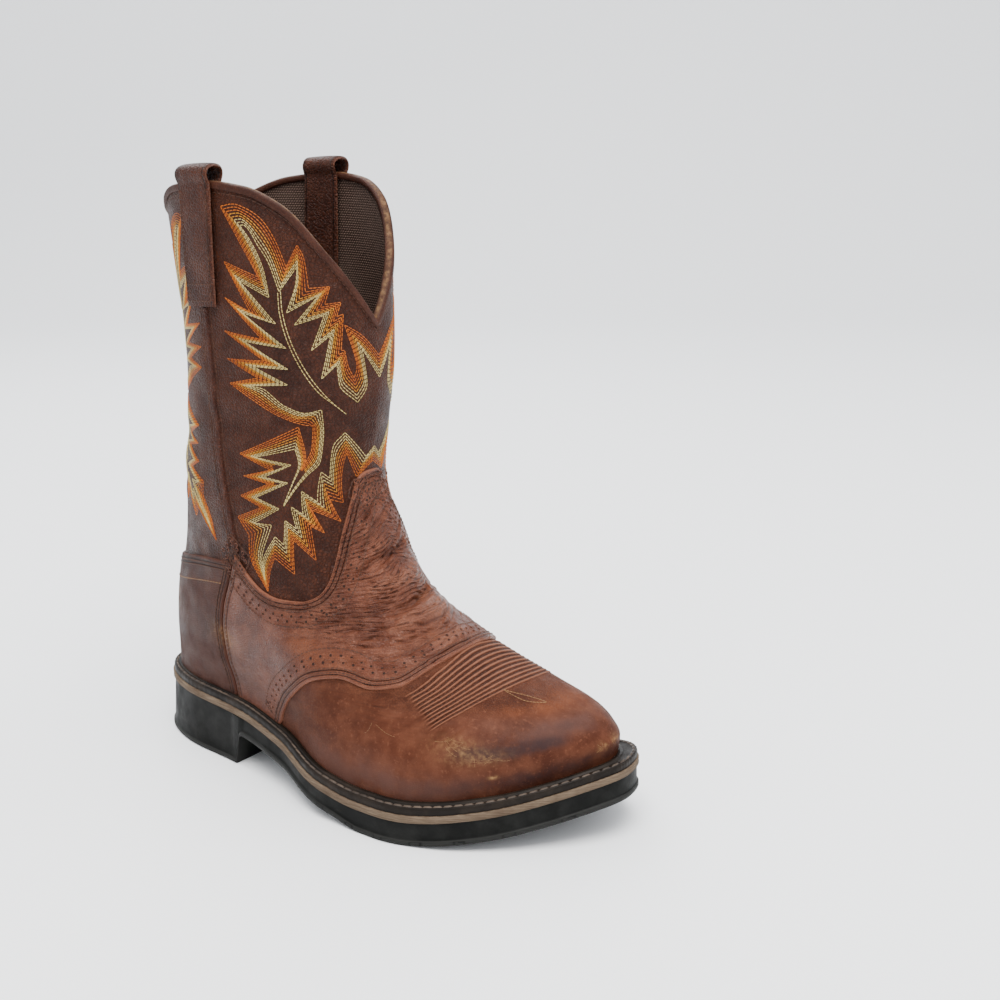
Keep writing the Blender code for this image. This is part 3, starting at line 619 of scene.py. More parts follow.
FAR_AHEAD, FAR_UP = 0.4, 0.6
FAR_BEHIND, FAR_DOWN = 0.2, 0.1


def side_line(rows, steps=8):
    """A smooth curve through the rows of a line, as an array of x and z in the side view."""
    points = np.array([(along * SOLE_LENGTH, rise * ANKLE_HEIGHT) for along, rise in rows])
    distance = run_length(points)
    places = np.interp(np.arange(0, len(rows) - 1 + 1e-9, 1 / steps), np.arange(len(rows)), distance)
    return np.stack([smooth_table(distance, points[:, k])(places) for k in (0, 1)], -1)


def inside_outline(x, z, outline):
    """Whether points of the side view lie inside an outline, by counting the edges to their right."""
    inside = np.zeros(np.shape(x), bool)
    ahead = np.roll(outline, -1, axis=0)
    for (x1, z1), (x2, z2) in zip(outline, ahead):
        if z1 == z2:
            continue
        crosses = ((z1 > z) != (z2 > z)) & (x < (x2 - x1) * (z - z1) / (z2 - z1) + x1)
        inside ^= crosses
    return inside


def crossing_level(turns, outline, low, high):
    """For each turn, the level between low and high where the skin enters the outline."""
    low, high = np.full(len(turns), float(low)), np.full(len(turns), float(high))
    for _ in range(24):
        middle = (low + high) / 2
        point = upper_point(turns, middle)
        inside = inside_outline(point[:, 0], point[:, 2], outline)
        low, high = np.where(inside, low, middle), np.where(inside, middle, high)
    return (low + high) / 2


def closed_above(line):
    """A line made into an outline that reaches far above it."""
    first, last = line[0], line[-1]
    behind = first[0] - FAR_BEHIND
    around = [(FAR_AHEAD, last[1]), (FAR_AHEAD, FAR_UP), (behind, FAR_UP)]
    return np.concatenate([[(behind, first[1])], line, around])


def closed_behind(line):
    """A line made into an outline that reaches far behind it and above it."""
    first, last = line[0], line[-1]
    around = [(FAR_AHEAD, last[1]), (FAR_AHEAD, FAR_UP), (-FAR_DOWN, FAR_UP)]
    return np.concatenate([[(-FAR_DOWN, -FAR_DOWN), (first[0], -FAR_DOWN)], line, around])


TURN_SAMPLES = np.linspace(0, FULL_TURN, 721)
SADDLE_TOP_EDGE = crossing_level(TURN_SAMPLES, closed_above(side_line(SADDLE_TOP_LINE)), 0.3, 1.5)
SADDLE_LOW_EDGE = crossing_level(TURN_SAMPLES, closed_behind(side_line(SADDLE_FRONT_LINE)), 0.0, 1.2)
COUNTER_TOP_EDGE = crossing_level(TURN_SAMPLES, closed_above(side_line(COUNTER_TOP_LINE)[::-1]), 0.2, 1.2)


def saddle_top(turn):
    return np.interp(np.mod(turn, FULL_TURN), TURN_SAMPLES, SADDLE_TOP_EDGE)


def saddle_low(turn):
    return np.interp(np.mod(turn, FULL_TURN), TURN_SAMPLES, SADDLE_LOW_EDGE)


def counter_top(turn):
    return np.interp(np.mod(turn, FULL_TURN), TURN_SAMPLES, COUNTER_TOP_EDGE)


def turn_where(level, wanted_x, outer):
    """The turn at which the ring of a level reaches wanted_x(height) on one side of the boot."""
    level = np.asarray(level, float)
    low, high = np.zeros(level.shape), np.full(level.shape, math.pi)
    for _ in range(24):
        middle = (low + high) / 2
        point = upper_point(middle if outer else FULL_TURN - middle, level)
        behind = point[..., 0] < wanted_x(point[..., 2])
        low, high = np.where(behind, middle, low), np.where(behind, high, middle)
    return low if outer else FULL_TURN - low


SEAM_CURVE = side_line(SEAM_LINE)
LEVEL_SAMPLES = np.linspace(0, 1, 101)


def seam_x(height):
    return np.interp(height, SEAM_CURVE[:, 1], SEAM_CURVE[:, 0])


SEAM_TURN_OUTER = turn_where(LEVEL_SAMPLES, seam_x, True)
SEAM_TURN_INNER = turn_where(LEVEL_SAMPLES, seam_x, False)


def seam_turn(level, outer):
    return np.interp(level, LEVEL_SAMPLES, SEAM_TURN_OUTER if outer else SEAM_TURN_INNER)


front_edges = [round(float(edge(math.pi)), 3) for edge in (saddle_low, saddle_top)]
print("the saddle's edges at the front, levels", front_edges)

# %% [markdown]
# ## Patches of wear, dust, darker tone and painted sheen
#
# Years of use leave their marks in the same places on every boot. The leather goes orange where it
# bends and rubs, and greyish where dust and damp sit above the welt. Greyish patches on the toe stand
# for dust and for the toe's sheen, as a painted sheen. Other patches are simply darker, on the toe,
# along the welt and on the sides. It is scuffed pale at the toe and finely wrinkled over the ankle.
# Each mark is a soft patch in turns and levels, and every mesh keeps the sum of them for its material
# to read.

# %% Patches of wear
PATCHES = [
    # kind, degrees round, level, half width in degrees, half height in levels, strength
    ("worn", 94, 0.50, 14, 0.07, 0.50),
    ("worn", 108, 0.57, 12, 0.05, 0.35),
    ("worn", 194, 0.79, 15, 0.05, 1.00),
    ("worn", 208, 0.86, 16, 0.05, 0.60),
    ("worn", 176, 0.70, 22, 0.04, 0.45),
    ("worn", 156, 0.40, 16, 0.045, 0.45),
    ("worn", 182, 0.41, 16, 0.05, 0.45),
    ("worn", 200, 0.36, 14, 0.07, 0.30),
    ("worn", 184, 0.12, 12, 0.025, 0.35),
    ("worn", 265, 0.52, 20, 0.08, 0.45),
    ("dusty", 84, 0.05, 30, 0.09, 0.50),
    ("dusty", 60, 0.14, 20, 0.12, 0.45),
    ("dusty", 30, 0.12, 26, 0.09, 0.80),
    ("dusty", 330, 0.12, 26, 0.09, 0.80),
    ("dusty", 276, 0.08, 34, 0.16, 0.85),
    ("dusty", 112, 0.05, 26, 0.10, 0.60),
    ("dusty", 0, 0.10, 30, 0.08, 0.55),
    # These two toe patches paint the toe's greyish sheen along with dust: a painted sheen.
    ("dusty", 150, 0.27, 18, 0.07, 0.80),
    ("dusty", 174, 0.29, 14, 0.06, 0.70),
    ("dark", 147, 0.220, 11, 0.038, 1.00),
    ("dark", 134, 0.225, 9, 0.045, 0.75),
    ("dark", 163, 0.285, 8, 0.035, 0.40),
    ("dark", 140, 0.06, 26, 0.05, 0.60),
    ("dark", 170, 0.05, 22, 0.04, 0.45),
    ("dark", 78, 0.36, 16, 0.20, 0.60),
    ("dark", 12, 0.32, 10, 0.05, 0.35),
    ("dark", 36, 0.55, 24, 0.06, 0.40),
    ("dark", 214, 0.24, 12, 0.06, 0.45),
    ("scuffed", 128, 0.255, 5, 0.045, 0.40),
    ("scuffed", 132, 0.200, 6, 0.035, 0.35),
    ("scuffed", 134, 0.098, 1.0, 0.010, 1.00),
    ("scuffed", 169, 0.104, 4, 0.03, 0.55),
    ("scuffed", 184, 0.118, 4, 0.03, 0.65),
    ("scuffed", 60, 0.30, 5, 0.05, 0.40),
    ("scuffed", 22, 0.34, 7, 0.06, 0.45),
    ("creased", 168, 0.86, 42, 0.15, 1.00),
    ("creased", 130, 0.68, 30, 0.11, 0.85),
    ("creased", 214, 0.78, 30, 0.16, 0.95),
    ("creased", 112, 0.40, 14, 0.08, 0.60),
    ("creased", 250, 0.52, 24, 0.12, 0.55),
]


def patches(kind, turn, level):
    """The strength of one kind of wear at turns and levels, from 0 to 1."""
    degrees = np.mod(np.degrees(turn), 360)
    total = np.zeros(np.broadcast(turn, level).shape)
    for name, at_round, at_level, half_width, half_height, strength in PATCHES:
        if name != kind:
            continue
        away = np.abs(degrees - at_round)
        away = np.minimum(away, 360 - away)
        share = (away / half_width) ** 2 + ((level - at_level) / half_height) ** 2
        total = total + strength * np.exp(-share)
    return np.clip(total, 0, 1)


print(len(PATCHES), "patches of wear")

# %% [markdown]
# ## Tools for meshes
#
# A piece of leather is a grid of points. To give a panel a round cut edge, the grid gets extra rows
# close to the edge, and there the points sink in a quarter circle down to the layer below. The same
# helper also writes how deep each point lies in a crease, so that the material can paint shade into it.


# %% Mesh tools
def mesh_object(name, points, faces, slot, attributes=None):
    """One piece that rides on the boot. Its points are given from the sole's back."""
    points = np.asarray(points, float).reshape(-1, 3) - (HEEL_CENTRE, 0, 0)
    mesh = bpy.data.meshes.new(name)
    mesh.from_pydata(points.tolist(), [], [list(face) for face in faces])
    for key, values in (attributes or {}).items():
        layer = mesh.attributes.new(key, "FLOAT", "POINT")
        layer.data.foreach_set("value", np.asarray(values, np.float32).ravel())
    mesh.validate()
    mesh.shade_smooth()
    made = bpy.data.objects.new(name, mesh)
    bpy.context.scene.collection.objects.link(made)
    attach(made, "root")
    return made


def grid_quads(rows, columns, closed=False):
    """Corners of the squares of a grid of points, joined end to end if closed."""
    reach = columns if closed else columns - 1
    first = np.arange(rows - 1)[:, None] * columns + np.arange(reach)[None, :]
    after = np.arange(rows - 1)[:, None] * columns + (np.arange(reach)[None, :] + 1) % columns
    return np.stack([first, after, after + columns, first + columns], -1).reshape(-1, 4).tolist()


def edge_shares(length, count):
    """Shares from 0 to 1 along lines of the given lengths, packed close near the ends."""
    close = OVERLAY_THICKNESS * np.array([0.0, 0.08, 0.3, 0.65, 1.1])
    start = close / np.asarray(length, float)[..., None]
    middle = np.linspace(0, 1, count)[1:-1] * (1 - 2 * start[..., -1:]) + start[..., -1:]
    return np.concatenate([start, middle, (1 - start)[..., ::-1]], -1)


def line_lengths(points):
    """Length of each row of a grid of points."""
    return np.linalg.norm(np.diff(points, axis=1), axis=2).sum(axis=1)


def round_edge(distance, radius):
    """Height share of a cut edge: 0 on the rim, 1 where the leather is flat again."""
    share = np.clip(distance / radius, 0, 1)
    return np.sqrt(np.clip(1 - (1 - share) ** 2, 0, 1))


PATCH_KINDS = ("worn", "dusty", "dark", "scuffed", "creased")
FAR_FROM_EDGE = 50.0
WRINKLE_ARM = 0.055
WRINKLE_SLOPE = 0.55
WRINKLE_BEND = (0.085, 0.160)
WRINKLE_PITCH = 0.0029


def leather_marks(turns, levels, base, fold, lift):
    """Everything that a leather material reads from its mesh, by name."""
    marks = {kind: patches(kind, turns, levels) for kind in PATCH_KINDS}
    marks.update(fold=fold, lift=lift * 1000)
    marks["from_edge"] = np.full(turns.shape, FAR_FROM_EDGE)
    height = base[..., 2]
    to_front = np.abs(turns - math.pi) * WRINKLE_ARM
    slope = WRINKLE_SLOPE * smooth_step(height, *WRINKLE_BEND)
    marks["around"] = to_front
    marks["upward"] = height
    marks["wrinkle"] = (height + slope * to_front) / WRINKLE_PITCH
    marks["sleek"] = smooth_step(0.44 - levels, -0.04, 0.1) * smooth_step(np.cos(turns), 0.45, -0.35)
    return marks


def add_sheet(name, turns, levels, out, slot, closed=False, extra=None):
    """A grid of leather on the skin, with its folds; the shade painted into them and its wear are kept as
    attributes.
    """
    base = upper_point(turns, levels)
    lift, fold = relief_and_folds(base)
    points = base + upper_normal(turns, levels) * (lift + rib_lift(turns, levels) + out)[..., None]
    marks = leather_marks(turns, levels, base, fold, lift)
    marks["rib"], marks["ribbed"] = rib_place(turns, levels)
    marks.update(extra or {})
    return mesh_object(name, points, grid_quads(*turns.shape, closed), slot, marks)


def edge_distance(base, lines):
    """How far each point of a grid is from the nearest of some lines of points."""
    flat = base.reshape(-1, 3)
    nearest = np.min([stroke_distance(flat, line)[0] for line in lines], axis=0)
    return nearest.reshape(base.shape[:-1])


def finish_with(piece, *materials):
    for material in materials:
        piece.data.materials.append(material)
    return piece


print("mesh tools ready")

# %% [markdown]
# ## A helper for shader nodes
#
# Every finish is built from nodes, with no pictures, so that it stays sharp at any size. Wiring nodes
# by hand takes four or five lines for each. This class keeps each kind that is needed here to one
# short call that returns its output, and the recipes below then read like sums.


# %% Node helper
class Nodes:
    """A thin wrapper round a material's node tree."""

    def __init__(self, name, roughness, specular=0.12):
        self.material = bpy.data.materials.new(name)
        self.material.use_nodes = True
        self.tree = self.material.node_tree
        self.shader = self.tree.nodes["Principled BSDF"]
        self.shader.inputs["Roughness"].default_value = roughness
        self.shader.inputs["Specular IOR Level"].default_value = specular
        self.place = self.tree.nodes.new("ShaderNodeTexCoord").outputs["Object"]

    def link(self, start, end):
        self.tree.links.new(start, end)

    def noise(self, scale, detail=4.0, roughness=0.55, place=None):
        node = self.tree.nodes.new("ShaderNodeTexNoise")
        node.inputs["Scale"].default_value = scale
        node.inputs["Detail"].default_value = detail
        node.inputs["Roughness"].default_value = roughness
        self.link(place or self.place, node.inputs["Vector"])
        return node.outputs["Fac"]

    def cells(self, scale, place=None):
        node = self.tree.nodes.new("ShaderNodeTexVoronoi")
        node.feature = "DISTANCE_TO_EDGE"
        node.inputs["Scale"].default_value = scale
        self.link(place or self.place, node.inputs["Vector"])
        return node.outputs["Distance"]

    def warped(self, scale, amount, place=None):
        """Coordinates that wander a little, so that cells don't look ruled."""
        node = self.tree.nodes.new("ShaderNodeTexNoise")
        node.inputs["Scale"].default_value = scale
        self.link(place or self.place, node.inputs["Vector"])
        mix = self.tree.nodes.new("ShaderNodeVectorMath")
        mix.operation = "MULTIPLY_ADD"
        self.link(node.outputs["Color"], mix.inputs[0])
        mix.inputs[1].default_value = (amount, amount, amount)
        self.link(place or self.place, mix.inputs[2])
        return mix.outputs["Vector"]

    def stretched(self, scale, place=None):
        node = self.tree.nodes.new("ShaderNodeMapping")
        node.inputs["Scale"].default_value = scale
        self.link(place or self.place, node.inputs["Vector"])
        return node.outputs["Vector"]

    def attribute(self, name):
        node = self.tree.nodes.new("ShaderNodeAttribute")
        node.attribute_name = name
        return node.outputs["Fac"]

    def range(self, value, low, high, to_low=0.0, to_high=1.0, smooth=True):
        node = self.tree.nodes.new("ShaderNodeMapRange")
        node.interpolation_type = "SMOOTHSTEP" if smooth else "LINEAR"
        node.clamp = True
        for key, number in (("From Min", low), ("From Max", high), ("To Min", to_low), ("To Max", to_high)):
            node.inputs[key].default_value = number
        self.link(value, node.inputs["Value"])
        return node.outputs["Result"]

    def work_out(self, operation, first, second=0.0):
        node = self.tree.nodes.new("ShaderNodeMath")
        node.operation = operation
        for socket, value in zip(node.inputs, (first, second)):
            if isinstance(value, (int, float)):
                socket.default_value = value
            else:
                self.link(value, socket)
        return node.outputs["Value"]

    def times(self, first, second):
        return self.work_out("MULTIPLY", first, second)

    def plus(self, first, second):
        return self.work_out("ADD", first, second)

    def minus(self, first, second):
        return self.work_out("SUBTRACT", first, second)

    def absolute(self, value):
        return self.work_out("ABSOLUTE", value)

    def cosine(self, value):
        return self.work_out("COSINE", value)

    def blend(self, factor, first, second):
        """Mixes two colours, each a tuple or a socket."""
        node = self.tree.nodes.new("ShaderNodeMix")
        node.data_type = "RGBA"
        self.link(factor, node.inputs["Factor"])
        for socket, value in ((node.inputs[6], first), (node.inputs[7], second)):
            if isinstance(value, tuple):
                socket.default_value = (*value, 1)
            else:
                self.link(value, socket)
        return node.outputs[2]

    def bump(self, height, distance, strength=1.0, under=None):
        node = self.tree.nodes.new("ShaderNodeBump")
        node.inputs["Distance"].default_value = distance
        node.inputs["Strength"].default_value = strength
        self.link(height, node.inputs["Height"])
        if under is not None:
            self.link(under, node.inputs["Normal"])
        return node.outputs["Normal"]

    def finish(self, colour, normal=None, roughness=None):
        if isinstance(colour, tuple):
            self.shader.inputs["Base Color"].default_value = (*colour, 1)
        else:
            self.link(colour, self.shader.inputs["Base Color"])
        if normal is not None:
            self.link(normal, self.shader.inputs["Normal"])
        if roughness is not None:
            self.link(roughness, self.shader.inputs["Roughness"])
        return self.material


print("node helper ready")

# %% [markdown]
# ## Leather as a recipe
#
# Real leather is dyed unevenly, so the colour drifts between three tints. Patches come next: rubbed
# orange, dusty (with a painted sheen on the toe), darker or scuffed, wherever the mesh says so, and
# raised leather lighter, partly rubbed and partly a painted highlight. Then the grain, with painted
# shade in its furrows, and last the lines that are finer than the mesh: wrinkles, ribs, and the grooves
# beside a cut edge, with painted shade in their valleys and painted highlights on rib crests and cut
# edges. Each is one small function that takes the colour and the normal so far and returns them changed.

# %% Leather colour and grain
WORN_TINT = (0.180, 0.053, 0.019)
DUST_AND_SHEEN_TINT = (0.070, 0.034, 0.027)
DARK_TINT = (0.022, 0.014, 0.015)
# A near-black tint for painted shade in creases, grain furrows, wrinkle and rib valleys and grooves.
PAINTED_SHADE_TINT = (0.008, 0.003, 0.002)
SCUFF_TINT = (0.340, 0.190, 0.080)
RIB_HIGHLIGHT_TINT = (0.230, 0.092, 0.052)
PATCH_TINTS = (("worn", WORN_TINT, 0.70), ("dusty", DUST_AND_SHEEN_TINT, 0.72), ("dark", DARK_TINT, 0.75))


def worn_colour(made, deep, main, pale, grain):
    """The colour, drifting between three tints, then rubbed, dusty (with a painted sheen on the toe) or
    darker in places, and lighter where the leather is raised.
    """
    drift = made.range(made.noise(24, 5, 0.62), 0.28, 0.72)
    patchy = made.range(made.noise(95, 5, 0.65), 0.36, 0.70)
    flecks = made.range(made.noise(grain * 0.55, 3, 0.6), 0.55, 0.72)
    colour = made.blend(drift, deep, main)
    colour = made.blend(made.times(patchy, 0.38), colour, pale)
    colour = made.blend(made.times(flecks, 0.45), colour, pale)
    cloudy = made.range(made.noise(60, 6, 0.7), 0.10, 0.70)
    for mark, tint, most in PATCH_TINTS:
        strength = made.times(made.attribute(mark), cloudy)
        colour = made.blend(made.range(strength, 0.0, 0.8, 0.0, most), colour, tint)
    # Raised leather is lighter: partly rubbed wear, partly a painted highlight.
    return made.blend(made.range(made.attribute("lift"), 0.15, 1.3, 0.0, 0.40), colour, pale)


def grained(made, colour, grain, depth):
    """Pebbles with painted shade in the furrows between them, flatter where the toe is polished, and a finer
    noise.
    """
    pebbles = made.cells(grain, made.warped(300, 0.0011))
    furrow = made.range(pebbles, 0.0, 0.22)
    plain = made.range(made.attribute("sleek"), 0.0, 1.0, 1.0, 0.12)
    shade = made.times(made.range(furrow, 0.0, 0.6, 0.45, 0.0), plain)
    normal = made.bump(made.times(furrow, plain), depth)
    return made.blend(shade, colour, PAINTED_SHADE_TINT), made.bump(made.noise(850, 4, 0.6), 0.00007, 0.8, normal)


print("leather tints:", len(PATCH_TINTS) + 2)

# %% Leather wrinkles, ribs and edges
WRINKLE_SETS = (
    # finer, wander, noise across, noise upwards, share
    (1.0, 4.5, 26, 70, 1.0),
    (1.7, 5.0, 40, 110, 0.35),
)
RIB_BUMP = 0.0005
EDGE_GROOVES = (2.0, 4.3)
GROOVE_WIDTH = 0.42
GROOVE_BUMP = 0.0007


def wrinkled(made, colour, normal, depth):
    """Wandering wrinkles: the mesh counts them upwards, and a noise bends the count. Their valleys get
    painted shade.
    """
    run = made.tree.nodes.new("ShaderNodeCombineXYZ")
    made.link(made.attribute("around"), run.inputs["X"])
    made.link(made.attribute("upward"), run.inputs["Y"])
    uneven = made.range(made.noise(85, 3), 0.36, 0.60, 0.35, 1.0)
    strength = made.times(made.attribute("creased"), uneven)
    for finer, wander, across, upwards, share in WRINKLE_SETS:
        drifting = made.noise(1.0, 1, 0.5, made.stretched((across, upwards, 1), run.outputs["Vector"]))
        count = made.plus(made.times(made.attribute("wrinkle"), finer), made.times(drifting, wander))
        ridge = made.absolute(made.cosine(made.times(count, math.pi)))
        wrinkle_shade = made.times(made.range(ridge, 0.0, 0.50, 1.0, 0.0), strength)
        colour = made.blend(made.times(wrinkle_shade, 0.42 * share), colour, PAINTED_SHADE_TINT)
        normal = made.bump(made.times(ridge, strength), depth * share, 1.0, normal)
    return colour, normal


def ribbed(made, colour, normal):
    """Painted highlights on the crests and painted shade in the valleys, from the cosine of the rib's number.
    """
    wave = made.cosine(made.times(made.attribute("rib"), FULL_TURN))
    share = made.attribute("ribbed")
    crest = made.times(made.range(wave, -0.2, 1.0), share)
    valley = made.times(made.range(wave, -1.0, -0.55, 1.0, 0.0), share)
    colour = made.blend(made.times(crest, 0.70), colour, RIB_HIGHLIGHT_TINT)
    colour = made.blend(made.times(valley, 0.45), colour, PAINTED_SHADE_TINT)
    return colour, made.bump(made.minus(crest, valley), RIB_BUMP, 1.0, normal)


def grooved(made, colour, normal, pale):
    """Painted shade in two grooves beside each cut edge, and a painted highlight on the edge itself.
    Distances are in millimetres.
    """
    from_edge = made.attribute("from_edge")
    for place in EDGE_GROOVES:
        near = made.absolute(made.minus(from_edge, place))
        groove = made.range(near, 0.0, GROOVE_WIDTH, 1.0, 0.0)
        colour = made.blend(made.times(groove, 0.85), colour, PAINTED_SHADE_TINT)
        normal = made.bump(made.minus(1.0, groove), GROOVE_BUMP, 1.0, normal)
    return made.blend(made.range(from_edge, 0.25, 0.75, 0.55, 0.0), colour, pale), normal


def leather(name, deep, main, pale, grain, grain_depth, roughness, wrinkle=0.0, specular=0.12):
    """The whole recipe. deep, main and pale are colours; grain is the pebbles to a metre."""
    made = Nodes(name, roughness, specular)
    colour = worn_colour(made, deep, main, pale, grain)
    colour, normal = grained(made, colour, grain, grain_depth)
    if wrinkle:
        colour, normal = wrinkled(made, colour, normal, wrinkle)
        colour, normal = ribbed(made, colour, normal)
    colour, normal = grooved(made, colour, normal, pale)
    # Painted shade: darker towards a near-black tint deep in the creases' troughs.
    colour = made.blend(made.range(made.attribute("fold"), 0.0, 1.0, 0.0, 0.40), colour, PAINTED_SHADE_TINT)
    speckle = made.range(made.noise(420, 4), 0.35, 0.75, 0.1, 0.8)
    colour = made.blend(made.times(made.attribute("scuffed"), speckle), colour, SCUFF_TINT)
    gloss = made.range(made.noise(70, 4), 0.3, 0.7, roughness - 0.09, roughness + 0.10)
    gloss = made.plus(gloss, made.range(made.attribute("dusty"), 0.0, 1.0, 0.0, 0.14))
    return made.finish(colour, normal, gloss)


print("leather recipe ready")

# %% [markdown]
# ## Six leathers
#
# The shaft and the binding are dark brown, the saddle is the reddest and the most worn, and the vamp
# lies between. Colours are dark here, because the lamps and the sky are strong. Only the foot's
# leathers get wrinkles, and the saddle shines a little, as polished leather does.

# %% Leather colours
SHAFT_LEATHER = leather(
    "shaft leather",
    deep=(0.021, 0.0056, 0.0027),
    main=(0.037, 0.0103, 0.0046),
    pale=(0.076, 0.024, 0.012),
    grain=580,
    grain_depth=0.00042,
    roughness=0.48,
)
VAMP_LEATHER = leather(
    "vamp leather",
    deep=(0.043, 0.0122, 0.0060),
    main=(0.070, 0.0205, 0.0098),
    pale=(0.132, 0.048, 0.025),
    grain=900,
    grain_depth=0.00018,
    roughness=0.56,
    wrinkle=0.0005,
    specular=0.07,
)
SADDLE_LEATHER = leather(
    "saddle leather",
    deep=(0.066, 0.0184, 0.0090),
    main=(0.118, 0.034, 0.0170),
    pale=(0.225, 0.086, 0.049),
    grain=1000,
    grain_depth=0.00020,
    roughness=0.36,
    wrinkle=0.0012,
    specular=0.15,
)
COUNTER_LEATHER = leather(
    "counter leather",
    deep=(0.026, 0.0074, 0.0042),
    main=(0.042, 0.0120, 0.0064),
    pale=(0.076, 0.027, 0.016),
    grain=900,
    grain_depth=0.00018,
    roughness=0.52,
)
STRAP_LEATHER = leather(
    "strap leather",
    deep=(0.022, 0.0058, 0.0030),
    main=(0.042, 0.0115, 0.0058),
    pale=(0.085, 0.029, 0.015),
    grain=560,
    grain_depth=0.00035,
    roughness=0.44,
    specular=0.14,
)
BINDING_LEATHER = leather(
    "binding leather",
    deep=(0.024, 0.0068, 0.0036),
    main=(0.040, 0.0120, 0.0062),
    pale=(0.070, 0.024, 0.013),
    grain=900,
    grain_depth=0.00010,
    roughness=0.50,
)
print("leathers:", len([material for material in bpy.data.materials if "leather" in material.name]))

# %% [markdown]
# ## Shaft and vamp
#
# The upper is one CAD node, but the eye sees two leathers: the dark shaft above the saddle, and the
# warm vamp over the toes. So two sheets stand for it. Each reaches a little way under the saddle,
# where its edge can't be seen.

# %% Shaft and vamp
UNDER_EDGE = 0.045
SHAFT_COLUMNS = 340
SHAFT_ROWS = 160
VAMP_COLUMNS = 350
VAMP_ROWS = 150


def shaft_low(turn):
    half = np.where(turn > math.pi, FULL_TURN - turn, turn)
    front_share = smooth_step(half, math.radians(76), math.radians(84))
    return counter_top(turn) * (1 - front_share) + saddle_top(turn) * front_share - UNDER_EDGE


shaft_turns = np.linspace(0, FULL_TURN, SHAFT_COLUMNS, endpoint=False)
shaft_shares = np.linspace(0, 1, SHAFT_ROWS)[:, None]
turn_grid = np.broadcast_to(shaft_turns, (SHAFT_ROWS, SHAFT_COLUMNS))
level_grid = shaft_low(shaft_turns)[None, :] * (1 - shaft_shares) + 2.0 * shaft_shares
unworn = {"worn": np.zeros(turn_grid.shape), "creased": np.zeros(turn_grid.shape)}
shaft = add_sheet("shaft", turn_grid, level_grid, 0.0, "shaft_leather", closed=True, extra=unworn)
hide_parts("upper")
finish_with(shaft, SHAFT_LEATHER)

foot_outer = TURN_SAMPLES[TURN_SAMPLES < math.pi][SADDLE_LOW_EDGE[TURN_SAMPLES < math.pi] > 0.01].min() - 0.05
foot_inner = TURN_SAMPLES[TURN_SAMPLES > math.pi][SADDLE_LOW_EDGE[TURN_SAMPLES > math.pi] > 0.01].max() + 0.05
vamp_turns = np.linspace(foot_outer, foot_inner, VAMP_COLUMNS)
vamp_shares = np.linspace(0, 1, VAMP_ROWS)[:, None]
turn_grid = np.broadcast_to(vamp_turns, (VAMP_ROWS, VAMP_COLUMNS))
level_grid = (saddle_low(vamp_turns) + UNDER_EDGE)[None, :] * vamp_shares
vamp = add_sheet("vamp", turn_grid, level_grid, 0.0, "vamp_leather")
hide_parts("upper")
finish_with(vamp, VAMP_LEATHER)
print("shaft", len(shaft.data.vertices), "points, vamp", len(vamp.data.vertices), "points")

# %% [markdown]
# ## Saddle and counter
#
# Both panels are cut from thicker leather and lie on the upper. Their grids run along their own cut
# edges, so the edges come out smooth and round, and later the stitches can follow them at an even
# distance.

# %% Panels
SADDLE_COLUMNS = 470
SADDLE_ROWS = 175
COUNTER_COLUMNS = 180
COUNTER_ROWS = 90
SPLIT = 0.006


def saddle_place(across, up):
    """Turn and level of a place on the saddle. across: 0 outer seam to 1 inner seam. up: 0 to 1."""
    across, up = np.broadcast_arrays(np.asarray(across, float), np.asarray(up, float))
    outer_half = across <= 0.5
    inward = np.where(outer_half, across, 1 - across) * 2
    level = np.full(across.shape, 0.4)
    for _ in range(6):
        edge = np.where(outer_half, seam_turn(level, True) + SPLIT, seam_turn(level, False) - SPLIT)
        turn = edge + (math.pi - edge) * inward
        level = saddle_low(turn) * (1 - up) + saddle_top(turn) * up
    return turn, level


def counter_place(across, up):
    """The same on the counter. across: 0 inner seam, 0.5 the back, 1 outer seam."""
    across, up = np.broadcast_arrays(np.asarray(across, float), np.asarray(up, float))
    outer_half = across >= 0.5
    outward = np.abs(across - 0.5) * 2
    level = np.full(across.shape, 0.3)
    for _ in range(6):
        inner_edge = FULL_TURN - seam_turn(level, False)
        edge = np.where(outer_half, seam_turn(level, True), inner_edge) - SPLIT
        turn = edge * outward
        turn = np.where(outer_half, turn, FULL_TURN - turn)
        level = counter_top(turn) * up
    return np.where(outer_half, turn, turn - FULL_TURN), level


def add_panel(name, place, columns, rows, slot, node, material, cut_edges):
    across_line = np.linspace(0, 1, 61)
    up_line = np.linspace(0, 1, 41)
    coarse = upper_point(*place(*np.meshgrid(across_line, up_line)))
    heights = line_lengths(coarse.transpose(1, 0, 2))
    width = line_lengths(coarse)[20]
    across = edge_shares(width, columns)
    up = edge_shares(np.interp(across, across_line, heights), rows).T
    turn, level = place(np.broadcast_to(across, up.shape), up)
    base = upper_point(turn, level)
    rim = edge_distance(base, [upper_point(*line) for line in cut_edges])
    out = LAYER_GAP + OVERLAY_THICKNESS * round_edge(rim, OVERLAY_THICKNESS * 0.9)
    out = np.where(rim < 0.00003, 0.0, out)
    lift, fold = relief_and_folds(base)
    points = base + upper_normal(turn, level) * (lift + out)[..., None]
    points[..., 2] = np.maximum(points[..., 2], feather_height(points[..., 0]) - 0.0002)
    marks = leather_marks(turn, level, base, fold, lift)
    marks["from_edge"] = rim * 1000
    panel = mesh_object(name, points, grid_quads(*turn.shape), slot, marks)
    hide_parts(node)
    return finish_with(panel, material)


def even_path(turns, levels, count=240):
    """The same path on the leather with places at even distances."""
    distance = run_length(upper_point(turns, levels))
    places = np.linspace(0, distance[-1], count)
    return np.interp(places, distance, turns), np.interp(places, distance, levels)


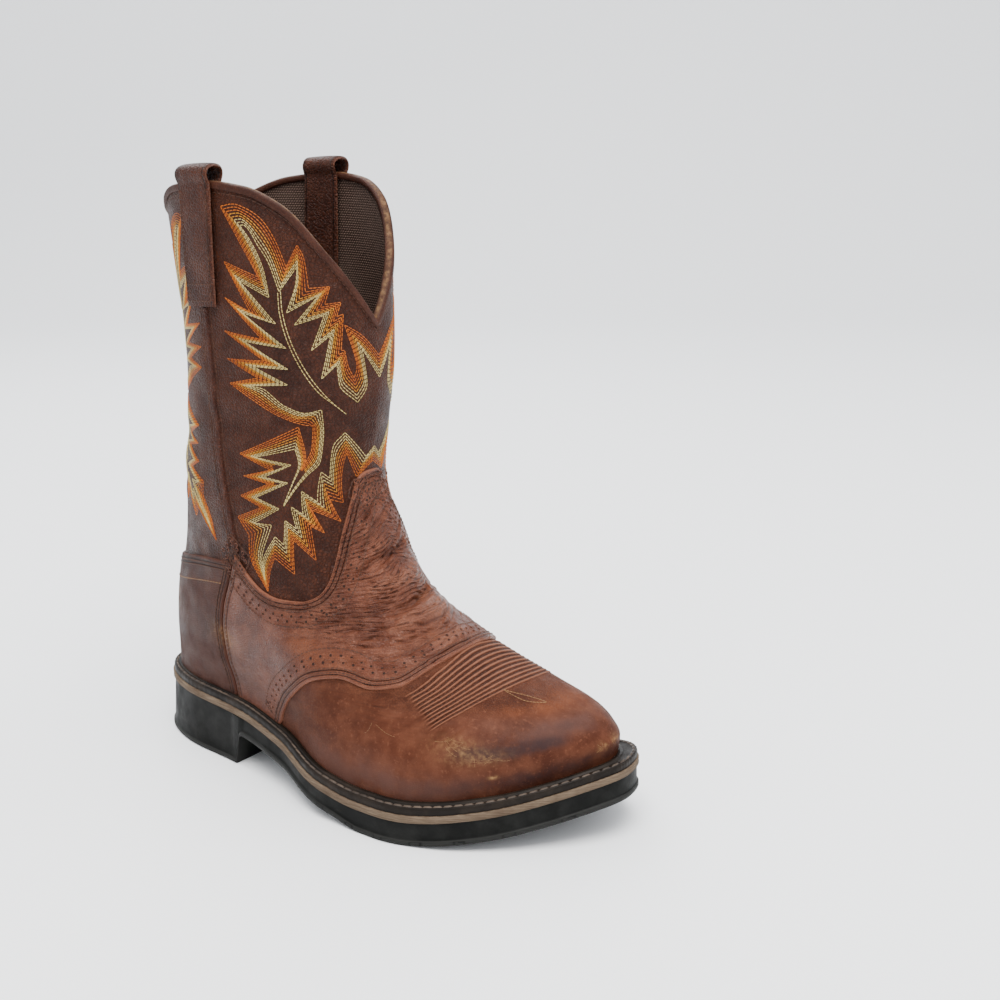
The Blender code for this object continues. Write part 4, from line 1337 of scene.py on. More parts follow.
fine_turns = np.linspace(1.0, FULL_TURN - 1.0, 6000)
fine_turns = fine_turns[saddle_low(fine_turns) > 0.004]
FRONT_EDGE = even_path(fine_turns, saddle_low(fine_turns))
TOP_EDGE = even_path(*saddle_place(np.linspace(0, 1, 900), 1.0))
ups = np.linspace(0, 1, 60)
SADDLE_SIDES = [saddle_place(0.0, ups), saddle_place(1.0, ups)]
COUNTER_SIDES = [counter_place(0.0, ups), counter_place(1.0, ups)]
COUNTER_TOP = even_path(*counter_place(np.linspace(0, 1, 300), 1.0))

saddle = add_panel(
    "saddle",
    saddle_place,
    SADDLE_COLUMNS,
    SADDLE_ROWS,
    "vamp_leather",
    "saddle_vamp",
    SADDLE_LEATHER,
    [FRONT_EDGE, TOP_EDGE, *SADDLE_SIDES],
)
counter = add_panel(
    "heel_counter",
    counter_place,
    COUNTER_COLUMNS,
    COUNTER_ROWS,
    "counter_leather",
    "counter",
    COUNTER_LEATHER,
    [COUNTER_TOP, *COUNTER_SIDES],
)
print("saddle", len(saddle.data.vertices), "points, counter", len(counter.data.vertices), "points")

# %% [markdown]
# ## Lining
#
# Looking down into the shaft shows a woven mesh lining. It is the inner face of the CAD upper. The
# weave is a bump from two sets of waves that cross, so it needs coordinates that run round and up:
# a UV map in metres. Blender's wave texture repeats every tenth of pi, which gives the scale.

# %% Lining
LINING_COLUMNS = 150
LINING_ROWS = 100
WAVE_REPEAT = 0.314
WEAVE_ACROSS = 0.0017
WEAVE_UP = 0.0013

lining_nodes = Nodes("woven lining", 0.75)
weave_place = lining_nodes.tree.nodes.new("ShaderNodeUVMap").outputs["UV"]


def woven(made, place, pitch_across, pitch_up):
    """Threads over and under: the higher of two crossing sets of ridges."""
    bands = []
    for direction, pitch in (("X", pitch_across), ("Y", pitch_up)):
        node = made.tree.nodes.new("ShaderNodeTexWave")
        node.bands_direction = direction
        node.inputs["Scale"].default_value = WAVE_REPEAT / pitch
        node.inputs["Distortion"].default_value = 0.6
        node.inputs["Detail Scale"].default_value = 2.0
        made.link(place, node.inputs["Vector"])
        bands.append(node.outputs["Fac"])
    return made.times(bands[0], bands[1])


weave = woven(lining_nodes, weave_place, WEAVE_ACROSS, WEAVE_UP)
threads = lining_nodes.range(weave, 0.05, 0.6)
lining_colour = lining_nodes.blend(threads, (0.026, 0.014, 0.010), (0.135, 0.088, 0.068))
dusty_lining = lining_nodes.range(lining_nodes.noise(28), 0.4, 0.7, 0, 0.5)
lining_colour = lining_nodes.blend(dusty_lining, lining_colour, (0.075, 0.050, 0.040))
LINING = lining_nodes.finish(lining_colour, lining_nodes.bump(weave, 0.0005))

lining_turns = np.linspace(0, FULL_TURN, LINING_COLUMNS + 1)
turn_grid, level_grid = np.meshgrid(lining_turns, np.linspace(0.02, 2.0, LINING_ROWS))
lining_points = upper_point(turn_grid, level_grid) - upper_normal(turn_grid, level_grid) * WALL
lining_points[-1, :, 2] = collar_height(lining_turns)
lining = mesh_object("lining", lining_points, grid_quads(*turn_grid.shape), "shaft_leather")
around_length = np.array([run_length(row) for row in lining_points])
uv_points = np.stack([around_length, lining_points[..., 2]], -1).reshape(-1, 2)
uv_layer = lining.data.uv_layers.new(name="weave")
corner_points = np.zeros(len(lining.data.loops), int)
lining.data.loops.foreach_get("vertex_index", corner_points)
uv_layer.data.foreach_set("uv", uv_points[corner_points].ravel())
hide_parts("upper")
finish_with(lining, LINING)
print("lining", len(lining.data.vertices), "points")

# %% [markdown]
# ## Collar binding
#
# A thin strip of dark leather is folded over the cut edge of the collar. Its crown is lighter, rubbed
# pale by hands and also given a painted highlight. In cross-section it is an upside-down U with round
# shoulders, carried all the way round the scalloped edge. A bevelled curve could follow the edge too,
# but couldn't straddle the leather.

# %% Binding
BINDING_THICKNESS = 0.0010
BINDING_DEPTH = 0.0026


def collar_frames(turns):
    """For each turn: the collar's edge, the way out, and the way down the leather."""
    tops = np.full_like(turns, 2.0)
    edge = upper_point(turns, tops)
    out = upper_normal(turns, tops)
    along = upper_point(turns + 0.01, tops) - upper_point(turns - 0.01, tops)
    down = np.cross(along, out)
    down /= np.linalg.norm(down, axis=1, keepdims=True)
    return edge, out, down * np.where(down[:, 2:] > 0, -1, 1)


binding_turns = np.linspace(0, FULL_TURN, 360, endpoint=False)
edge, out, down = collar_frames(binding_turns)
near, far = LAYER_GAP, LAYER_GAP + BINDING_THICKNESS
centre, half_span = -WALL / 2, WALL / 2 + far
section = [
    # outwards, down
    (near - 0.0003, BINDING_DEPTH + 0.0001),
    (far * 0.75, BINDING_DEPTH),
    (far, BINDING_DEPTH - 0.0005),
    (far, 0.0006),
]
for step in range(1, 12):
    angle = math.pi * step / 12
    section.append((centre + half_span * math.cos(angle), 0.0002 - far * 1.05 * math.sin(angle)))
section += [(-WALL - far, 0.0006), (-WALL - far, BINDING_DEPTH - 0.0005), (-WALL - near, BINDING_DEPTH)]
rings = np.stack([edge + out * outwards + down * depth for outwards, depth in section])
# The crown's lighter colour is rubbed wear and a painted highlight, kept in the scuffed attribute.
ridge = [0.5 * smooth_step(-depth, 0.0007, 0.0012) for outwards, depth in section]
binding_marks = {
    "scuffed": np.repeat(ridge, len(binding_turns)),
    "from_edge": np.full(rings.shape[:2], FAR_FROM_EDGE),
}
binding_faces = grid_quads(len(section), len(binding_turns), closed=True)
binding = mesh_object("binding", rings, binding_faces, "binding_leather", binding_marks)
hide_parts("collar_binding")
finish_with(binding, BINDING_LEATHER)
print("binding", len(binding.data.vertices), "points")

# %% [markdown]
# ## Side seams
#
# The shaft is made of a front and a back half. Where they meet, a narrow strip of leather covers the
# seam. It is a low round ridge with a sewn groove, from the corner of the saddle to the pull strap.
# A grid of points on the skin, lifted by a half circle across its width, is all that it takes.

# %% Side seams
SEAM_WIDTH = 0.0048
SEAM_HEIGHT = 0.0014
seam_foot = SHAFT_SEAM_FOOT * ANKLE_HEIGHT
seam_head = SHAFT_HEIGHT - STRAP_OUTSIDE - SEAM_CLEAR


def shaft_seam_x(height):
    upwards = (height - seam_foot) / (seam_head - seam_foot)
    along = smooth_table([row[1] for row in SHAFT_SEAM_LINE], [row[0] for row in SHAFT_SEAM_LINE])
    return along(upwards) * SOLE_LENGTH


def add_side_seam(name, outer, node):
    levels = level_at(math.pi / 2, np.linspace(seam_foot - 0.004, seam_head, 130))
    middle = turn_where(levels, shaft_seam_x, outer)
    shares = np.linspace(-1, 1, 13)
    half = SEAM_WIDTH / 2
    turns, levels = np.broadcast_arrays(middle[:, None], levels[:, None])
    small = 0.01
    step = upper_point(turns + small, levels) - upper_point(turns - small, levels)
    reach = np.linalg.norm(step, axis=2) / (2 * small)
    turns = turns + shares[None, :] * half / reach
    levels = np.broadcast_to(levels, turns.shape)
    arch = SEAM_HEIGHT * np.sqrt(np.clip(1 - shares**2, 0, 1)) ** 0.8
    groove = 0.0005 * np.exp(-(((shares + 0.25) / 0.12) ** 2))
    out = np.broadcast_to(arch - groove, turns.shape)
    strip = add_sheet(name, turns, levels, out, "shaft_leather")
    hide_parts(node)
    return finish_with(strip, STRAP_LEATHER), turns[:, 6], levels[:, 6]


seam_strips = [
    add_side_seam("seam_strip_outer", True, "side_seam_outer"),
    add_side_seam("seam_strip_inner", False, "side_seam_inner"),
]
print("side seams", len(seam_strips))

# %% [markdown]
# ## Pull straps
#
# A strap is one strip of leather that climbs the outside, makes a loop above the collar and goes down
# inside. Its path comes from rows of points; its section has round edges, so it is built from a ring
# of points that goes over the face, round the edge and back along the underside.

# %% Pull straps
STRAP_WIDTH = 0.0235
STRAP_THICKNESS = 0.0022
STRAP_LOOP_RISE = 0.0062
STRAP_BULGE = 0.0054
STRAP_CLEAR = 2 * LAYER_GAP + BINDING_THICKNESS
STRAP_BOTTOM_LEVEL = 2 - STRAP_OUTSIDE / (SHAFT_HEIGHT - ANKLE_HEIGHT)
STRAP_BOTTOM_ALONG = 0.268
STRAP_TOP_ALONG = 0.279
STRAP_ACROSS = 25
STRAP_LEG_ROWS = 60
STRAP_ARCH_ROWS = 24
STRAP_GROOVES = 0.0031


def strap_turns(level, outer):
    """The turns across the strap's width at one level of the shaft."""
    top_share = (level - STRAP_BOTTOM_LEVEL) / (2 - STRAP_BOTTOM_LEVEL)
    middle = SOLE_LENGTH * (STRAP_BOTTOM_ALONG + (STRAP_TOP_ALONG - STRAP_BOTTOM_ALONG) * top_share)
    ends = [float(turn_where(level, lambda z: middle + side * STRAP_WIDTH / 2, outer)) for side in (-1, 1)]
    return np.linspace(ends[0], ends[1], STRAP_ACROSS)


def strap_row(level, away, outer):
    """A row of points across the strap, at a distance from the leather."""
    turns = strap_turns(level, outer)
    away = np.broadcast_to(away, turns.shape)[:, None]
    return upper_point(turns, level) + upper_normal(turns, level) * away


def strap_face(lift, outer):
    """Rows of points up the outside, over the loop and down the inside; lift is the thickness so far."""
    outside = np.linspace(STRAP_BOTTOM_LEVEL, 2.0, STRAP_LEG_ROWS)
    inside = np.linspace(2.0, 2 - STRAP_INSIDE / (SHAFT_HEIGHT - ANKLE_HEIGHT), STRAP_LEG_ROWS)
    climb = np.clip((outside - outside[0]) / (outside[-2] - outside[0]), 0, 1)
    fall = np.clip((inside - inside[-1]) / (inside[1] - inside[-1]), 0, 1)
    rows = []
    for level, share in zip(outside, climb):
        rows.append(strap_row(level, LAYER_GAP + (STRAP_CLEAR - LAYER_GAP) * share + lift, outer))
    edge, out, _ = collar_frames(strap_turns(2.0, outer))
    lift_across = np.broadcast_to(lift, edge.shape[:1])[:, None]
    half_span = WALL / 2 + STRAP_CLEAR + lift_across
    for i in range(1, STRAP_ARCH_ROWS + 1):
        angle = math.pi * i / (STRAP_ARCH_ROWS + 1)
        wider = half_span + STRAP_BULGE * math.sin(angle)
        rise = (LAYER_GAP + BINDING_THICKNESS + STRAP_LOOP_RISE + lift_across) * math.sin(angle)
        rows.append(edge + out * (wider * math.cos(angle) - WALL / 2) + rise * np.array([[0, 0, 1.0]]))
    for level, share in zip(inside, fall):
        rows.append(strap_row(level, -WALL - LAYER_GAP - (STRAP_CLEAR - LAYER_GAP) * share - lift, outer))
    return np.array(rows)


def add_strap(name, outer, node):
    rim = (1 - np.abs(np.linspace(-1, 1, STRAP_ACROSS))) * STRAP_WIDTH / 2
    swell = round_edge(rim, STRAP_THICKNESS * 0.6)
    top = strap_face(STRAP_THICKNESS * (0.45 + 0.55 * swell), outer)
    bottom = strap_face(STRAP_THICKNESS * 0.45 * (1 - swell), outer)
    loop = np.concatenate([top, bottom[:, ::-1]], axis=1)
    rows, columns = loop.shape[:2]
    faces = grid_quads(rows, columns, closed=True)
    for row in (0, rows - 1):
        for i in range(STRAP_ACROSS - 1):
            a, b = row * columns + i, row * columns + i + 1
            faces.append([a, b, row * columns + columns - 2 - i, row * columns + columns - 1 - i])
    from_edge = np.where(rim < STRAP_GROOVES, rim * 1000, FAR_FROM_EDGE)
    marks = {"from_edge": np.tile(np.concatenate([from_edge, from_edge[::-1]]), rows)}
    strap = mesh_object(name, loop, faces, "strap_leather", marks)
    strap.data.set_sharp_from_angle(angle=math.radians(60))
    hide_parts(node)
    return finish_with(strap, STRAP_LEATHER)


add_strap("strap_outer", True, "pull_strap_outer")
add_strap("strap_inner", False, "pull_strap_inner")
print("pull straps: 2")

# %% [markdown]
# ## Thread, one stitch at a time
#
# A stitch is short: the thread comes up through the leather, lies flat, and goes down again. A line of
# stitches is cut from any path on the boot, and each stitch becomes a tiny roof of twelve triangles.
# Thousands of them fit in one mesh, and shaded smooth they look like round thread.

# %% Stitches
STITCH_LENGTH = 0.0022
THREAD = 0.00043
STITCH_PLACES = np.array([0.05, 0.24, 0.76, 0.95])


def cut_stitches(turns, levels, length=STITCH_LENGTH):
    """Four turns and four levels for each stitch along a path on the leather."""
    points = upper_point(turns, levels)
    distance = run_length(points)
    count = max(1, int(round(distance[-1] / length)))
    places = (np.arange(count)[:, None] + STITCH_PLACES) * distance[-1] / count
    return np.stack([np.interp(places, distance, turns), np.interp(places, distance, levels)])


def thread_mesh(name, base, normal, thick, slot, material):
    """Stitches as one mesh. base and normal: four places along each stitch."""
    along = base[:, -1:] - base[:, :1]
    along = along / np.linalg.norm(along, axis=2, keepdims=True)
    side = np.cross(normal, along)
    width = thick * np.array([0.30, 0.52, 0.52, 0.30])[:, None]
    top = thick * np.array([0.0, 0.72, 0.72, 0.0])[:, None]
    foot = base - 0.12 * thick * normal
    points = np.stack([foot - side * width, base + normal * top, foot + side * width], 2)
    stitch, part, slope = np.meshgrid(np.arange(len(base)), np.arange(3), np.arange(2), indexing="ij")
    first = stitch * 12 + part * 3 + slope
    quads = np.stack([first, first + 1, first + 4, first + 3], -1).reshape(-1, 4)
    made = mesh_object(name, points, quads.tolist(), slot)
    return finish_with(made, material)


def sew(name, lines, thick, slot, material, out=0.0):
    """Sews lines of cut stitches on the leather, moved out by the thickness of what they go through."""
    turns, levels = np.concatenate(lines, axis=1)
    return thread_mesh(name, skin(turns, levels, out), upper_normal(turns, levels), thick, slot, material)


def thread_material(name, dull, bright, roughness=0.45):
    """Shiny thread: each stitch is its own island, so each gets a slightly different tint."""
    made = Nodes(name, roughness, 0.25)
    chance = made.tree.nodes.new("ShaderNodeNewGeometry").outputs["Random Per Island"]
    drift = made.range(made.noise(60, 3), 0.35, 0.65)
    tint = made.blend(made.times(made.plus(chance, drift), 0.5), dull, bright)
    return made.finish(tint, made.bump(made.noise(2600, 2), 0.00006, 0.6))


ORANGE_THREAD = thread_material("orange thread", (0.24, 0.046, 0.001), (0.47, 0.112, 0.003))
AMBER_THREAD = thread_material("amber thread", (0.31, 0.110, 0.004), (0.53, 0.218, 0.012))
CREAM_THREAD = thread_material("cream thread", (0.30, 0.225, 0.075), (0.53, 0.425, 0.168))
BROWN_THREAD = thread_material("brown thread", (0.022, 0.008, 0.004), (0.075, 0.028, 0.014), 0.55)
TAN_THREAD = thread_material("tan thread", (0.120, 0.056, 0.021), (0.220, 0.110, 0.044), 0.55)
print("thread", THREAD * 1000, "mm thick")

# %% [markdown]
# ## Embroidered leaves
#
# The pattern on the shaft is two leaves, one above the other, mirrored on the other half of the front
# panel and drawn again, narrower, on the back. Eight rows of thread follow each outline. A table row
# is one place of the outline: where the outermost thread passes, where the innermost one does, and
# whether the outline has a corner there. The rows in between are shared out evenly.

# %% Leaf tables
UPPER_LEAF_REAR = [
    # outer_round, outer_height, inner_round, inner_height, corner
    (96, 306, 105.5, 297, 1),
    (101, 296, 109.5, 291, 0),
    (106, 286, 113, 284, 0),
    (109.5, 279, 116, 274.5, 0),
    (112.7, 272, 117.5, 262, 1),
    (94.6, 279, 102, 270, 1),
    (100, 268, 104.6, 267, 0),
    (106.6, 254.5, 120, 249, 1),
    (92.6, 261, 102, 254, 1),
    (112, 241, 124.7, 236.7, 1),
    (90.3, 244, 102, 239.6, 1),
    (112.8, 230, 125.3, 226, 1),
    (91, 229.7, 106, 227, 1),
    (109, 221, 125, 218, 1),
    (92, 217, 103, 216.7, 1),
    (107, 209, 111, 215.7, 0),
    (119, 202, 123.6, 206.8, 0),
    (128, 198.7, 134.4, 203.2, 0),
    (134.5, 197, 143.5, 204.8, 1),
    (139, 196.3, 145, 192.3, 0),
    (138.8, 185, 144, 178, 0),
    (133, 173, 135, 168.8, 0),
    (120.6, 154.5, 121, 153.5, 1),
]
UPPER_LEAF_FRONT = [
    # outer_round, outer_height, inner_round, inner_height, corner
    (96, 306, 105.5, 297, 1),
    (103, 307.2, 107.5, 297.2, 0),
    (109.5, 305.2, 110.6, 294.2, 0),
    (117, 300, 113.7, 288, 0),
    (123, 290, 118.4, 280, 0),
    (127.6, 277, 123, 265, 1),
    (134, 287.7, 133.3, 277.3, 1),
    (137, 281, 132, 269, 0),
    (138.5, 266.5, 126, 254.5, 1),
    (150, 267, 143.6, 263, 1),
    (146.6, 258.4, 129.6, 248.5, 1),
    (156, 259, 146, 253, 1),
    (153, 252, 138, 235.6, 1),
    (157, 253, 149, 243, 1),
    (154.7, 235, 143, 221, 1),
    (156.8, 234.8, 152, 228, 1),
    (158.7, 226.8, 153.3, 217.4, 0),
    (162.4, 220.3, 165, 207.3, 1),
    (164.5, 226.3, 171.4, 216.5, 0),
    (157.5, 247.6, 168.3, 234.8, 1),
    (168.3, 241.7, 174, 227.6, 0),
    (181.5, 230, 181.5, 218.6, 1),
]
LOWER_LEAF_REAR = [
    # outer_round, outer_height, inner_round, inner_height, corner
    (120.6, 154.5, 121, 153.5, 1),
    (130, 167.7, 128, 166, 0),
    (135.5, 179, 131.6, 176, 0),
    (131, 196, 129.4, 184.4, 1),
    (98, 180, 107, 179, 1),
    (116, 172.6, 127.5, 175.7, 1),
    (100, 168, 112, 168.5, 1),
    (114.7, 165, 125.5, 166, 1),
    (97, 157, 106, 157, 1),
    (108, 152, 118, 152, 1),
    (92, 145, 101, 143, 1),
    (96, 136, 111, 143, 1),
    (92, 121, 99, 123.6, 0),
    (94, 107, 96, 114.5, 1),
]
LOWER_LEAF_FRONT = [
    # outer_round, outer_height, inner_round, inner_height, corner
    (94, 107, 96, 114.5, 1),
    (100, 116, 99.5, 123, 0),
    (107, 125.6, 111, 137, 1),
    (114.6, 118, 114.5, 133, 1),
    (120.6, 136, 119.4, 146, 1),
    (129, 126, 124.3, 142, 1),
    (132.5, 143.7, 125, 153.4, 1),
    (139, 140, 130.5, 149.6, 1),
    (136, 152, 132.6, 161.7, 1),
    (151, 145.4, 140.5, 156, 1),
    (148, 157, 144.5, 171.7, 1),
    (156, 154.6, 149.7, 168, 1),
    (157.7, 172, 151, 184.5, 0),
    (160, 181, 158, 192, 1),
    (168, 167, 175, 177, 1),
    (181.5, 174, 181.5, 182, 1),
]
LEAF_STEM = [
    # round, height
    (123.0, 265.0),
    (122.9, 257.0),
    (123.5, 251.5),
    (125.3, 243.5),
    (128.0, 236.0),
    (132.0, 228.0),
    (137.0, 220.4),
    (143.5, 213.0),
    (150.0, 207.7),
    (158.3, 201.6),
]
THREAD_ROWS = 8
ROW_COLOURS = ("orange", "orange", "orange", "amber", "amber", "cream", "cream", "cream")
PANEL_MIDDLE = 181.5
TAIL_TOP = 176
TAIL_TIP = 153
BACK_SHARE = 72 / 91.7
FRONT_LOW, FRONT_HIGH = 107, 306
BACK_LOW, BACK_HIGH = 127, 300
BACK_SHRINK = (BACK_HIGH - BACK_LOW) / (FRONT_HIGH - FRONT_LOW)
LEAVES = (UPPER_LEAF_REAR, UPPER_LEAF_FRONT, LOWER_LEAF_REAR, LOWER_LEAF_FRONT)
print("places in the leaves:", sum(map(len, LEAVES)))

# %% [markdown]
# ## Sewing the embroidery
#
# An embroidery machine runs the same outline again and again, each row a little further in. This cell
# does the same: it mixes the outer and the inner line of a table, cuts the run between two corners
# into stitches, and sorts them by colour. Each colour becomes one mesh.


# %% Embroidery
def on_panel(rounds, heights, panel):
    """Moves a place of the traced front quarter to one of the four quarters of the shaft."""
    if panel == "front outer":
        return rounds, heights
    if panel == "front inner":
        return 2 * PANEL_MIDDLE - rounds, heights
    rounds = BACK_SHARE * (PANEL_MIDDLE - rounds)
    heights = BACK_LOW + (heights - FRONT_LOW) * BACK_SHRINK
    return (rounds if panel == "back outer" else 360 - rounds), heights


def in_tail(rounds, heights):
    """Whether a place lies in the thin tail below the stem, which only the cream rows reach."""
    below = heights < TAIL_TOP - (rounds - 121) * 0.3
    above = heights > TAIL_TIP + (rounds - 120) * 0.9
    return (rounds > 119) & below & above


def leaf_runs(leaf, share):
    """One thread row of a leaf, as runs of rounds and heights between its corners."""
    cream = share > 0.6
    rows = np.array(leaf, float)
    rounds = rows[:, 0] * (1 - share) + rows[:, 2] * share
    heights = rows[:, 1] * (1 - share) + rows[:, 3] * share
    corners = np.flatnonzero(rows[:, 4])
    for first, last in zip(corners, corners[1:]):
        steps = np.arange(last - first + 1)
        dense = np.linspace(0, last - first, 10 * (last - first) + 1)
        run_rounds = smooth_table(steps, rounds[first : last + 1])(dense)
        run_heights = smooth_table(steps, heights[first : last + 1])(dense)
        kept = np.full(len(dense), True) if cream else ~in_tail(run_rounds, run_heights)
        if kept.sum() > 1:
            yield run_rounds[kept], run_heights[kept]


def stem_runs():
    """Two lines of thread that meet at the stem's lower end."""
    rows = np.array(LEAF_STEM)
    steps = np.arange(len(rows))
    dense = np.linspace(0, len(rows) - 1, 60)
    rounds, heights = smooth_table(steps, rows[:, 0])(dense), smooth_table(steps, rows[:, 1])(dense)
    apart = 0.75 * (1 - smooth_step(dense, 6.5, 8.5))
    return [(rounds + side * apart, heights + side * apart * 0.5) for side in (-1, 1)]


sewn = {"orange": [], "amber": [], "cream": []}
for panel in ("front outer", "front inner", "back outer", "back inner"):
    for leaf in LEAVES:
        for row in range(THREAD_ROWS):
            for rounds, heights in leaf_runs(leaf, row / (THREAD_ROWS - 1)):
                rounds, heights = on_panel(rounds, heights, panel)
                turns = np.radians(rounds)
                sewn[ROW_COLOURS[row]].append(cut_stitches(turns, level_at(turns, heights / 1000)))
    for rounds, heights in stem_runs():
        rounds, heights = on_panel(rounds, heights, panel)
        turns = np.radians(rounds)
        sewn["cream"].append(cut_stitches(turns, level_at(turns, heights / 1000)))

sew("embroidery_orange", sewn["orange"], THREAD, "shaft_leather", ORANGE_THREAD)
sew("embroidery_amber", sewn["amber"], THREAD, "shaft_leather", AMBER_THREAD)
sew("embroidery_cream", sewn["cream"], THREAD, "shaft_leather", CREAM_THREAD)
for colour, lines in sewn.items():
    print(colour, sum(line.shape[1] for line in lines), "stitches")

# %% [markdown]
# ## Seam stitches
#
# Every cut edge is held by rows of thread at an even distance from it. A line beside another one is
# found in a few short steps, each at right angles to the line so far. A single long step would bunch
# up where the edge bends sharply.

# %% Seam stitches
SEAM_STITCH = 0.0026
LONG_STITCH = 0.0030
SEAM_THREAD = 0.00060
EDGE_ROWS = (0.0031, 0.0052)
PANEL_OUT = LAYER_GAP + OVERLAY_THICKNESS


def step_aside(path, distance, steps=4):
    """A path beside another one on the leather, always at right angles to it, in a few short steps."""
    turns, levels = path
    small = 0.002
    for _ in range(steps):
        run = np.gradient(upper_point(turns, levels), axis=0)
        aside = np.cross(upper_normal(turns, levels), run)
        aside *= distance / steps / np.linalg.norm(aside, axis=1, keepdims=True)
        around = (upper_point(turns + small, levels) - upper_point(turns - small, levels)) / (2 * small)
        low, high = np.maximum(levels - small, 0), np.minimum(levels + small, 2)
        upwards = (upper_point(turns, high) - upper_point(turns, low)) / (high - low)[:, None]
        aa, ab, bb = (around**2).sum(1), (around * upwards).sum(1), (upwards**2).sum(1)
        pa, pb = (aside * around).sum(1), (aside * upwards).sum(1)
        scale = aa * bb - ab**2
        turns = turns + (pa * bb - pb * ab) / scale
        levels = levels + (pb * aa - pa * ab) / scale
    kept = levels > 0.004
    return even_path(turns[kept], levels[kept])


def lines_beside(path, side, distances):
    """Rows of stitches at several distances from a path, on its left (1) or its right (-1)."""
    return [cut_stitches(*step_aside(path, side * distance), SEAM_STITCH) for distance in distances]


panel_lines = lines_beside(FRONT_EDGE, 1, (*EDGE_ROWS, 0.0148))
panel_lines += lines_beside(TOP_EDGE, -1, (*EDGE_ROWS, 0.0140))
for side, line in zip((-1, 1), SADDLE_SIDES):
    panel_lines += lines_beside(line, side, EDGE_ROWS[:1])
for side, line in zip((-1, 1), COUNTER_SIDES):
    panel_lines += lines_beside(line, side, EDGE_ROWS)
panel_lines += lines_beside(COUNTER_TOP, -1, EDGE_ROWS)
sew("panel_stitches", panel_lines, SEAM_THREAD, "vamp_leather", BROWN_THREAD, PANEL_OUT)

turns, levels = step_aside(COUNTER_TOP, -0.0135)
counter_line = cut_stitches(turns[16:-16], levels[16:-16], LONG_STITCH)
sew("counter_stitches", [counter_line], SEAM_THREAD, "counter_leather", TAN_THREAD, PANEL_OUT)
print("panel stitches:", sum(line.shape[1] for line in panel_lines))

# %% [markdown]
# ## Punched holes
#
# Two staggered rows of small holes decorate the saddle, along both of its long edges. A Boolean could
# cut them, but hundreds of cuts are slow and leave ragged meshes. A near-black disc of painted shade,
# standing for the hole's shadowed inside, within a low rim of leather looks the same.

# %% Punched holes
HOLE_PITCH = 0.0058
HOLE_RADIUS = 0.00080
HOLE_SIDES = 8
HOLE_ROWS = (0.0082, 0.0112)
HOLE_RINGS = (
    # share of the radius, height
    (0.92, 0.00008),
    (1.12, 0.00020),
    (1.60, -0.00005),
)


def punch(path, start):
    """Centres and normals of holes at an even pitch along a path on the leather."""
    points = upper_point(*path)
    distance = run_length(points)
    places = np.arange(start, distance[-1] - 0.004, HOLE_PITCH)
    turns, levels = np.interp(places, distance, path[0]), np.interp(places, distance, path[1])
    return skin(turns, levels, PANEL_OUT), upper_normal(turns, levels)


def add_holes(name, centres, normals, slot, dark, lip):
    """Small near-black discs of painted shade with a raised rim of leather, all in one mesh."""
    helper = np.array([0.0, 0.0, 1.0])
    first = np.cross(normals, helper)
    first /= np.linalg.norm(first, axis=1, keepdims=True)
    second = np.cross(normals, first)
    angles = np.linspace(0, FULL_TURN, HOLE_SIDES, endpoint=False)
    spokes = np.cos(angles)[None, :, None] * first[:, None] + np.sin(angles)[None, :, None] * second[:, None]
    rings = []
    for reach, height in HOLE_RINGS:
        rings.append(centres[:, None] + spokes * HOLE_RADIUS * reach + normals[:, None] * height)
    points = np.stack(rings, 1)
    faces, finishes = [], []
    for i in range(len(centres)):
        start = i * 3 * HOLE_SIDES
        faces.append(list(range(start, start + HOLE_SIDES)))
        finishes.append(0)
        for ring in range(2):
            for k in range(HOLE_SIDES):
                a, b = start + ring * HOLE_SIDES + k, start + ring * HOLE_SIDES + (k + 1) % HOLE_SIDES
                faces.append([a, a + HOLE_SIDES, b + HOLE_SIDES, b])
                finishes.append(1)
    made = mesh_object(name, points, faces, slot, {"from_edge": np.full(points.shape[:3], FAR_FROM_EDGE)})
    finish_with(made, dark, lip)
    made.data.polygons.foreach_set("material_index", finishes)
    return made


# Painted shade: the holes' insides get a near-black colour in place of real depth.
hole_nodes = Nodes("hole painted shade", 0.9)
hole_shade_tint = hole_nodes.blend(hole_nodes.noise(500), (0.010, 0.006, 0.005), (0.026, 0.014, 0.010))
HOLE_SHADE = hole_nodes.finish(hole_shade_tint)
hole_rows = []
for edge_path, side in ((TOP_EDGE, -1), (FRONT_EDGE, 1)):
    for distance, start in zip(HOLE_ROWS, (0.004, 0.004 + HOLE_PITCH / 2)):
        hole_rows.append(punch(step_aside(edge_path, side * distance), start))
centres = np.concatenate([row[0] for row in hole_rows])
normals = np.concatenate([row[1] for row in hole_rows])
add_holes("punched_holes", centres, normals, "vamp_leather", HOLE_SHADE, SADDLE_LEATHER)
print("punched holes:", len(centres))

# %% [markdown]
# ## Stitches on collar, straps, seams and vamp
#
# The collar's binding is sewn with dark thread, a strap has a row down each edge and a box at its
# foot, and thread lies in each valley between the ribs. A small leaf in tan thread sits on the toe.

# %% Small stitch lines
collar_turns = np.linspace(0, FULL_TURN, 720)
collar_run = 2 - 0.0044 / (collar_height(collar_turns) - ANKLE_HEIGHT)
shaft_lines = [cut_stitches(collar_turns, collar_run, 0.0030)]
for strip, turns, levels in seam_strips:
    for side in (-1, 1):
        away = side * 0.0034 / 0.05
        shaft_lines.append(cut_stitches(turns + away, levels, SEAM_STITCH))
sew("shaft_stitches", shaft_lines, SEAM_THREAD, "shaft_leather", BROWN_THREAD)

valley_lines = []
for i in range(RIB_COUNT - 1):
    valley_lines.append(cut_stitches(*rib_path(i + 0.5), 0.0026))
sew("rib_stitches", valley_lines, 0.00042, "vamp_leather", BROWN_THREAD)

